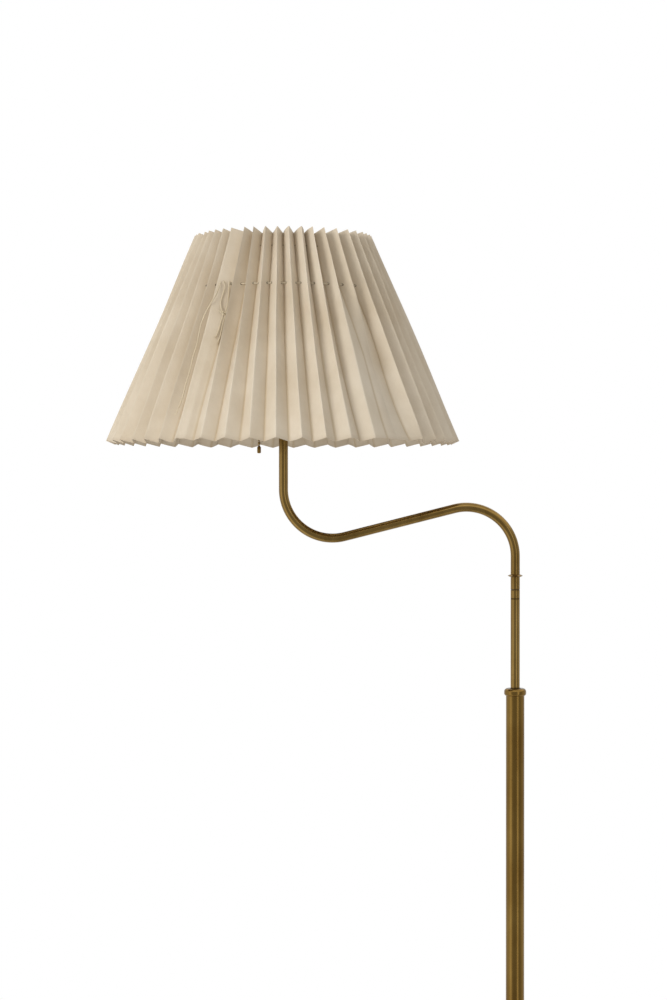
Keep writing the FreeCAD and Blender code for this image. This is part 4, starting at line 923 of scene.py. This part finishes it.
def shade_piece():
    """The sheet with its thickness: an outer and an inner grid, joined at the top and the rim."""
    levels = np.linspace(0, 1, LEVELS + 1)
    folds = np.stack([open_pleat(fold_row(level), level) for level in levels])
    outer = sheet_rows(folds, levels)
    rows, columns = outer.shape[:2]
    around_way = np.roll(outer, -1, axis=1) - np.roll(outer, 1, axis=1)
    down_way = np.gradient(outer, axis=0)
    inner = outer - unit(np.cross(down_way, around_way)) * CARD
    middle = np.array([SHADE_AXIS[0], 0, RIM_LEVEL])
    points = np.concatenate([outer.reshape(-1, 3), inner.reshape(-1, 3)]) + middle
    skin = rows * columns
    last = skin - columns
    faces = ring_faces(rows, columns, flip=True) + ring_faces(rows, columns, skin)
    faces += edge_faces(0, skin, columns) + edge_faces(skin + last, last, columns)
    mesh = bpy.data.meshes.new("folded_shade")
    mesh.from_pydata((points * MM).tolist(), [], faces)
    panels = columns // (len(ACROSS) + 1)
    place = np.tile([0.0] + ACROSS, panels)
    from_valley = np.repeat(np.arange(panels) % 2, len(ACROSS) + 1)
    ridge = np.where(from_valley == 0, 1 - place, place)
    marks = string_marks(folds, levels).reshape(-1, 3)
    store(mesh, "ridge", np.tile(ridge, 2 * rows))
    store(mesh, "height", np.tile(np.repeat(1 - levels, columns), 2))
    store(mesh, "string", np.concatenate([marks, marks]), "FLOAT_VECTOR", "vector")
    mesh.shade_smooth()
    mesh.set_sharp_from_angle(angle=math.radians(50))
    return adopt(placed("folded_shade", mesh), "shade_pleats")


shade = shade_piece()
print(f"shade: {triangles(shade)} triangles")

# %% [markdown]
# ## The drawstring in the pleats
# The string runs straight through each pleat and turns in the valley before the next. Pulled tight,
# it would be a polygon. It is old and slack, so it hangs down a little in each valley, and that
# dip is what shows between the pleats.

# %% Drawstring
STRING_RADIUS, STRING_TURNS = 0.7, 380.0
VALLEY_DIPS = ((0.36, 0.0), (0.5, 0.2), (0.64, 0.0))  # share of the gap, and how far it sags


def string_line():
    """A closed run of points: one at each ridge, and three round each valley."""
    level = STRING_DROP / SHADE_HEIGHT
    radius = ridge_radius(level) - STRING_INSET
    height = SHADE_HEIGHT - STRING_DROP
    azimuths = ridge_azimuths(level)
    points = []
    for azimuth, after in zip(azimuths, np.append(azimuths[1:], azimuths[0] + 360)):
        gap = after - azimuth
        points.append(around(radius, azimuth, height))
        for share, dip in VALLEY_DIPS:
            reach = radius / math.cos(math.radians(gap * (0.5 - abs(share - 0.5))))
            points.append(around(reach, azimuth + gap * share, height - dip))
    return [shade_place(point) for point in points]


string = grown("drawstring_cord", curve_line("string", string_line(), "POLY"), twisted_cord,
               Radius=STRING_RADIUS * MM, Turns=STRING_TURNS, Spacing=0.6 * MM,
               Finish=cream_cotton)
adopt(string, "drawstring")
print(f"drawstring: {triangles(string)} triangles")

# %% [markdown]
# ## The stem and the swivel
# The stem is two tubes, one sliding in the other, with a rounded bead where they meet. Above it the
# swivel shows as a sleeve, a fine dark line where its halves turn on each other, and a ring with a
# sharp waist. All are turned from a few corners, and their outer sizes come from the CAD.

# %% Stem
TUBE_WALL = 1.0


def tube(node, name, easing):
    """A plain tube in the place of its CAD node."""
    radius, low, high = measured(node)
    inside = radius - TUBE_WALL
    corners = [(inside, low), (radius, low), (radius, high), (inside, high)]
    return adopt(turned(name, corners, easing=easing), node)


tube("stem_tube", "outer_tube", 0.15)
radius, low, high = measured("stem_collar")
adopt(turned("tube_bead", [(10.05, low), (radius - 1.6, low, 3.0), (radius, low + 2.4),
                           (radius, high - 3.6, 3.8), (radius - 3.2, high), (6.2, high),
                           (6.2, high - 1.5), (10.05, high - 1.5)], segments=96), "stem_collar")
tube("inner_tube", "thin_tube", 0.3)
print(f"bead {2 * radius:.1f} mm across, its top at {high:.1f} mm")

# %% Swivel
PIVOT_ABOVE_JOINT, FOOT_HEIGHT = 39.6, 9.6
RING_LOW, RING_MIDDLE, RING_HIGH, RING_CURVE = 13.5, 15.0, 16.5, 9

radius, low, high = measured("swivel_lower")
joint_line = high - PIVOT_ABOVE_JOINT
shoulder = joint_line + FOOT_HEIGHT
adopt(turned("swivel_foot", [(2.1, low), (3.95, low), (3.95, joint_line), (radius, joint_line),
                             (radius, shoulder), (3, shoulder), (3, high), (2.1, high)]),
      "swivel_lower")
radius, low, high = measured("swivel_upper")
adopt(turned("swivel_sleeve", [(3.05, low), (5, low), (5, low + RING_LOW, RING_CURVE),
                               (radius, low + RING_MIDDLE, RING_CURVE), (5, low + RING_HIGH),
                               (3.95, low + RING_HIGH), (3.95, high), (3.05, high)],
             segments=96, easing=0.15), "swivel_upper")
print(f"joint line at {joint_line:.1f} mm, ring at {low + RING_LOW:.1f} mm")

# %% [markdown]
# ## The arm
# The arm is one tube with two bends. Its middle line is two arcs of the same radius with a common
# tangent: the slope of that tangent follows from how far apart the bends' middles are. A circle is
# carried along the line, turned so that it always stands square to it.

# %% Arm
REACH, BEND = 252.0, 53.2
FIRST_RISE, BEND_OFFSET = 19.8, 72.8
BEND_STEP = math.radians(3)
ARM_SIDES = 48


def arm_line():
    """Middle line of the arm in the plane of the lamp: (x, height) points in millimetres."""
    start = ARM_FOOT
    across = REACH - 2 * BEND
    slope = math.asin(2 * BEND / math.hypot(across, BEND_OFFSET)) - math.atan2(BEND_OFFSET, across)
    first = np.array([-BEND, start + FIRST_RISE])
    second = np.array([BEND - REACH, start + FIRST_RISE + BEND_OFFSET])
    points = [np.array([0, start]), np.array([0, start + FIRST_RISE * 0.5])]
    sweep = math.pi / 2 + slope
    count = int(sweep / BEND_STEP)
    for middle, begin, way in ((first, 0, 1), (second, math.pi + sweep, -1)):
        for number in range(count + 1):
            angle = begin + way * sweep * number / count
            points.append(middle + BEND * np.array([math.cos(angle), math.sin(angle)]))
    points.append(np.array([-REACH, ARM_TIP]))
    return np.array(points), math.degrees(slope)


def swept(name, line, radius, wall, sides):
    """A tube along a line in the lamp's plane."""
    along = unit(np.gradient(line, axis=0))
    across = np.stack([-along[:, 1], along[:, 0]], axis=1)
    points = []
    for skin in (radius, radius - wall):
        for middle, side in zip(line, across):
            for corner in range(sides):
                angle = 2 * math.pi * corner / sides
                spot = middle + side * skin * math.cos(angle)
                points.append(np.array([spot[0], skin * math.sin(angle), spot[1]]) * MM)
    rings = len(line)
    inside, last = rings * sides, (rings - 1) * sides
    faces = ring_faces(rings, sides) + ring_faces(rings, sides, inside)
    faces += edge_faces(0, inside, sides) + edge_faces(last, inside + last, sides)
    return mesh_piece(name, points, faces)


line, slope = arm_line()
arm = adopt(swept("curved_arm", line, TUBE_RADIUS, TUBE_WALL, ARM_SIDES), "arm_tube")
print(f"arm: slope {slope:.1f} degrees, {triangles(arm)} triangles")

# %% [markdown]
# ## Turned brass with threads and grips
# Under the shade sits an ordinary screw holder. A cap covers the switch, a threaded skirt screws
# onto it, and two rings on that thread clamp the shade's plate between them. Threads and knurled
# grips are the same trick: a wave that is added to the radius while the profile is spun. For a
# thread, the wave moves up by one pitch in each turn, and for a grip it stands still.

# %% Waves for threads and grips
SKIN_DEPTH = 0.6  # a thread moves only points this near to its radius


def thread(radius, depth, pitch, low, high):
    """A wave that cuts a thread into the skin at a radius, between two heights."""

    def wave(angle, radii, heights):
        turn = heights / pitch - angle / (2 * math.pi)
        cut = (heights > low) & (heights < high) & (abs(radii - radius) < SKIN_DEPTH)
        return -depth * (0.5 - 0.5 * np.cos(2 * math.pi * turn)) * cut

    return wave


def grip(radius, depth, ribs):
    """A wave that knurls everything outside a radius."""

    def wave(angle, radii, heights):
        return -depth * (0.5 - 0.5 * math.cos(ribs * angle)) * (radii > radius)

    return wave


def upright(radius, low, high, step):
    """A straight stretch of a profile in small steps, so that a wave can shape it."""
    count = max(1, round(abs(high - low) / step))
    return [(radius, low + (high - low) * number / count) for number in range(count + 1)]


def lathe(node, name, corners, level=None, **details):
    """A turned piece on the axis of its CAD node; heights start at a level or at its foot."""
    low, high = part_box(node)
    axis = ((low.x + high.x) / 2 / MM, (low.y + high.y) / 2 / MM)
    level = low.z / MM if level is None else level
    piece = adopt(turned(name, corners, axis, level, **details), node)
    print(f"{name}: {triangles(piece)} triangles")
    return piece


# %% Lamp holder
lathe("holder_locknut", "lock_nut", [(5.05, 0), (9, 0), (9, 5), (5.05, 5)], segments=240,
      waves=grip(8.6, 0.3, 48))
lathe("holder_cap", "drawn_cap",
      [(5.05, -9), (7, -9), (7, 0, 13), (20, 13), (20, 26.2), (19.6, 26.8), (20, 27.4), (20, 30),
       (19.2, 30), (19.2, 13, -12.2), (7, 0.8), (5.05, 0.8)], level=ARM_TIP, segments=96)
lathe("holder_skirt", "threaded_skirt",
      [(19, 30), (20.5, 30), (20.5, 34)] + upright(19.5, 34, 58, 0.4)
      + [(17, 58), (17, 36.2), (19, 36.2)], level=ARM_TIP, segments=96, easing=0.12,
      waves=thread(19.5, 0.35, 2.0, 34.6, 57.6))
lathe("screw_shell", "screw_thread",
      upright(13.95, 36, 56, 0.45) + upright(13.45, 56, 36, 0.45), level=ARM_TIP, segments=96,
      easing=0.1, waves=thread(13.7, 0.7, 3.6, 36.8, 55.2))
for node, seat, away in (("shade_ring_lower", 46, -1), ("shade_ring_upper", 47.2, 1)):
    lathe(node, f"{node}_knurled",
          [(19.55, seat), (26, seat), (26, seat + 1.2 * away), (21.45, seat + 1.2 * away),
           (21.45, seat + 5 * away), (19.55, seat + 5 * away)], level=ARM_TIP, segments=288,
          waves=grip(25, 0.35, 72))

# %% Bulb
lathe("bulb_cap", "bulb_thread",
      [(9, 0)] + upright(13.2, 3, 17.6, 0.45) + [(13.2, 19.5), (12.8, 19.5)]
      + upright(12.8, 17.6, 3, 0.45) + [(8.6, 0.4)], segments=96, easing=0.2,
      waves=thread(13.0, 0.65, 3.6, 3.4, 16.8))

# %% Stem foot
lathe("stem_ferrule", "stem_ferrule_turned",
      [(10.05, 0), (17, 0), (17, 1.5, -8), (11.55, 8), (10.05, 8)], segments=96)

# %% [markdown]
# ## The pull chain
# The switch is worked by a chain of fifteen small brass beads on a wire, with a turned weight at
# its end. One bead is made and repeated: in Geometry Nodes a line has a point for every bead, and
# the bead is placed on each of them.

# %% A tree that threads beads


def chain_tree():
    made, given = new_tree("bead_chain", Base="Geometry", Beads="Int", Pitch="Float", Bead="Float",
                           Stretch="Float", Wire="Float", Top="Vector", Finish="Material")
    pitch, top = given.other("Pitch"), given.other("Top")
    drop = made.node("ShaderNodeCombineXYZ", None, {"Z": pitch * -1})
    half = made.node("ShaderNodeCombineXYZ", None, {"Z": pitch * -0.5})
    first = made.node("ShaderNodeVectorMath", {"operation": "ADD"}, {0: top, 1: half})
    spots = made.node("GeometryNodeMeshLine", None, {
        "Count": given.other("Beads"), "Start Location": first, "Offset": drop})
    ball = made.node("GeometryNodeMeshUVSphere", None,
                     {"Segments": 24, "Rings": 14, "Radius": given.other("Bead")})
    stretch = given.other("Stretch")
    size = made.node("ShaderNodeCombineXYZ", None, {"X": 1.0, "Y": 1.0, "Z": stretch})
    bead = made.node("GeometryNodeTransform", None, {"Geometry": ball, "Scale": size})
    beads = made.node("GeometryNodeInstanceOnPoints", None, {"Points": spots, "Instance": bead})
    length = pitch * given.other("Beads")
    wire = made.node("GeometryNodeMeshCylinder", None, {
        "Vertices": 12, "Radius": given.other("Wire"), "Depth": length})
    middle = made.node("ShaderNodeCombineXYZ", None, {"Z": length * -0.5})
    place = made.node("ShaderNodeVectorMath", {"operation": "ADD"}, {0: top, 1: middle})
    core = made.node("GeometryNodeTransform", None, {"Geometry": wire, "Translation": place})
    joined = made.node("GeometryNodeJoinGeometry", None, {"Geometry": beads})
    made.tree.links.new(core.socket, joined.socket.node.inputs["Geometry"])
    return ended(made, joined, given.other("Finish"))


low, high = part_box("pull_chain")
BEADS, BEAD_RADIUS, BEAD_STRETCH, WIRE_RADIUS = 15, 1.35, 1.25, 0.4
seed_mesh = bpy.data.meshes.new("chain_seed")
seed_mesh.from_pydata([(0, 0, 0)], [], [])
chain = grown("bead_chain", placed("chain_seed", seed_mesh), chain_tree(), Beads=BEADS,
              Pitch=(high.z - low.z) / BEADS, Bead=BEAD_RADIUS * MM, Stretch=BEAD_STRETCH,
              Wire=WIRE_RADIUS * MM, Top=((low.x + high.x) / 2, 0, high.z),
              Finish=finishes[slots["pull_chain"]])
adopt(chain, "pull_chain")
lathe("pull_end", "chain_weight", [(0, 0), (1.3, 0), (2.1, 0.8), (2.1, 6.5), (0.4, 9), (0, 9)],
      segments=48)
print(f"chain: {triangles(chain)} triangles")

# %% [markdown]
# ## Floor and light
# The photograph is a cut-out on white, so the floor is white too. Near the lamp it is plain matt
# paint that takes a shadow; further off it glows for the camera at exactly white. The key light
# stands at the front left, where it was for the photograph. A strong soft sky fills the rest, with
# a faint lamp behind and another low in front, for what the floor of a bright studio throws back.
# Brass is only as good as what it mirrors. So for shiny rays the world and the far floor are a
# studio: pale behind and beside the lamp, dark behind the camera, with two upright strip lights
# and one overhead.

# %% The studio that brass mirrors
ROOM = [(-180, 0.60), (-100, 0.54), (-78, 0.62), (-66, 0.92), (-52, 0.88), (-40, 0.38),
        (-20, 0.31), (0, 0.30), (19, 0.34), (24, 0.98), (33, 0.98), (39, 0.34), (62, 0.28),
        (78, 0.46), (104, 0.54), (180, 0.60)]
OVERHEAD = [(0.0, 0.34), (0.42, 0.45), (0.52, 1.0), (0.74, 1.0), (0.86, 0.62), (1.0, 0.60)]
STRIP_STRENGTH = 1.35


def studio(made, east, north, up=None):
    """How bright the studio is in a direction: strips by azimuth, and one overhead."""
    turn = east.math("ARCTAN2", east, north * -1) / (2 * math.pi) + 0.5
    wall = made.ramp(turn, [(0.5 + degrees / 360, grey) for degrees, grey in ROOM])
    if up is not None:
        roof = made.ramp(up, OVERHEAD)
        wall = wall + made.ramp(up, [(0.25, 0), (0.42, 1)]) * (roof - wall)
    return wall * STRIP_STRENGTH


# %% Floor
FLOOR_REACH = 40.0
NEAR_FLOOR = 4.0  # the ramps below measure shares of this distance


def rays_seen(made):
    """Light Path's outputs, and a 1 for rays by which the camera sees something."""
    rays = made.node("ShaderNodeLightPath", output="Is Camera Ray")
    return rays, rays.math("MAXIMUM", rays, rays.other("Is Transmission Ray"))


def floor_finish():
    made = Finish("white_floor", Roughness=0.9, Specular_IOR_Level=0.1)
    made.shader.inputs["Base Color"].default_value = (0.86, 0.86, 0.86, 1)
    spot = made.node("ShaderNodeTexCoord", output="Object")
    east, north, _ = made.split(spot)
    away = distance(east, north) / NEAR_FLOOR
    far = made.ramp(away, [(0.30, 0), (0.50, 1)])
    mirrored = made.ramp(away, [(0.08, 0), (0.16, 1)])
    rays, seen = rays_seen(made)
    glossy = rays.other("Is Glossy Ray")
    strength = seen + (1 - seen) * studio(made, east, north)
    glow = made.node("ShaderNodeEmission", None, {"Color": (1, 1, 1, 1), "Strength": strength})
    matt = Signal(made, made.shader.outputs[0])
    shown = seen.math("MAXIMUM", far * seen, mirrored * glossy)
    mixed = made.node("ShaderNodeMixShader", None, {0: shown, 1: matt, 2: glow})
    made.tree.links.new(mixed.socket, made.tree.nodes["Material Output"].inputs["Surface"])
    return made.material


floor_mesh = bpy.data.meshes.new("floor")
corners = [(east * FLOOR_REACH, north * FLOOR_REACH, 0)
           for east, north in ((-1, -1), (1, -1), (1, 1), (-1, 1))]
floor_mesh.from_pydata(corners, [], [(0, 1, 2, 3)])
floor_mesh.materials.append(floor_finish())
floor = placed("floor", floor_mesh)

# %% World
SKY_LEVEL = 0.66
world = bpy.data.worlds.new("soft_sky")
world.use_nodes = True
bpy.context.scene.world = world
sky = Maker(world.node_tree)
spot = sky.node("ShaderNodeTexCoord", output="Generated")
rays, seen = rays_seen(sky)
mirrored = studio(sky, *sky.split(spot))
strength = SKY_LEVEL + (1 - SKY_LEVEL) * seen
strength = strength + rays.other("Is Glossy Ray") * (1 - seen) * (mirrored - strength)
background = world.node_tree.nodes["Background"]
background.inputs["Color"].default_value = (1, 1, 1, 1)
world.node_tree.links.new(strength.socket, background.inputs["Strength"])

# %% Lamps


def soft_lamp(name, place, aim, size, watts):
    """A square lamp that lights, but isn't mirrored."""
    data = bpy.data.lights.new(name, "AREA")
    data.shape = "RECTANGLE"
    data.size, data.size_y = size
    data.energy = watts
    lamp = placed(name, data)
    lamp.location = place
    lamp.rotation_euler = (Vector(aim) - Vector(place)).to_track_quat("-Z", "Y").to_euler()
    lamp.visible_glossy = False


soft_lamp("key_light", (-2.3, -2.4, 2.0), (-0.15, 0, 1.1), (1.2, 1.6), 44.5)
soft_lamp("back_light", (1.9, 2.2, 2.2), (0, 0, 0.9), (1.2, 1.6), 12)
soft_lamp("low_light", (-0.5, -1.9, 0.25), (-0.25, 0, 1.25), (1.6, 0.8), 5)
bpy.context.scene.view_settings.view_transform = "Standard"
print("view transform:", bpy.context.scene.view_settings.view_transform)
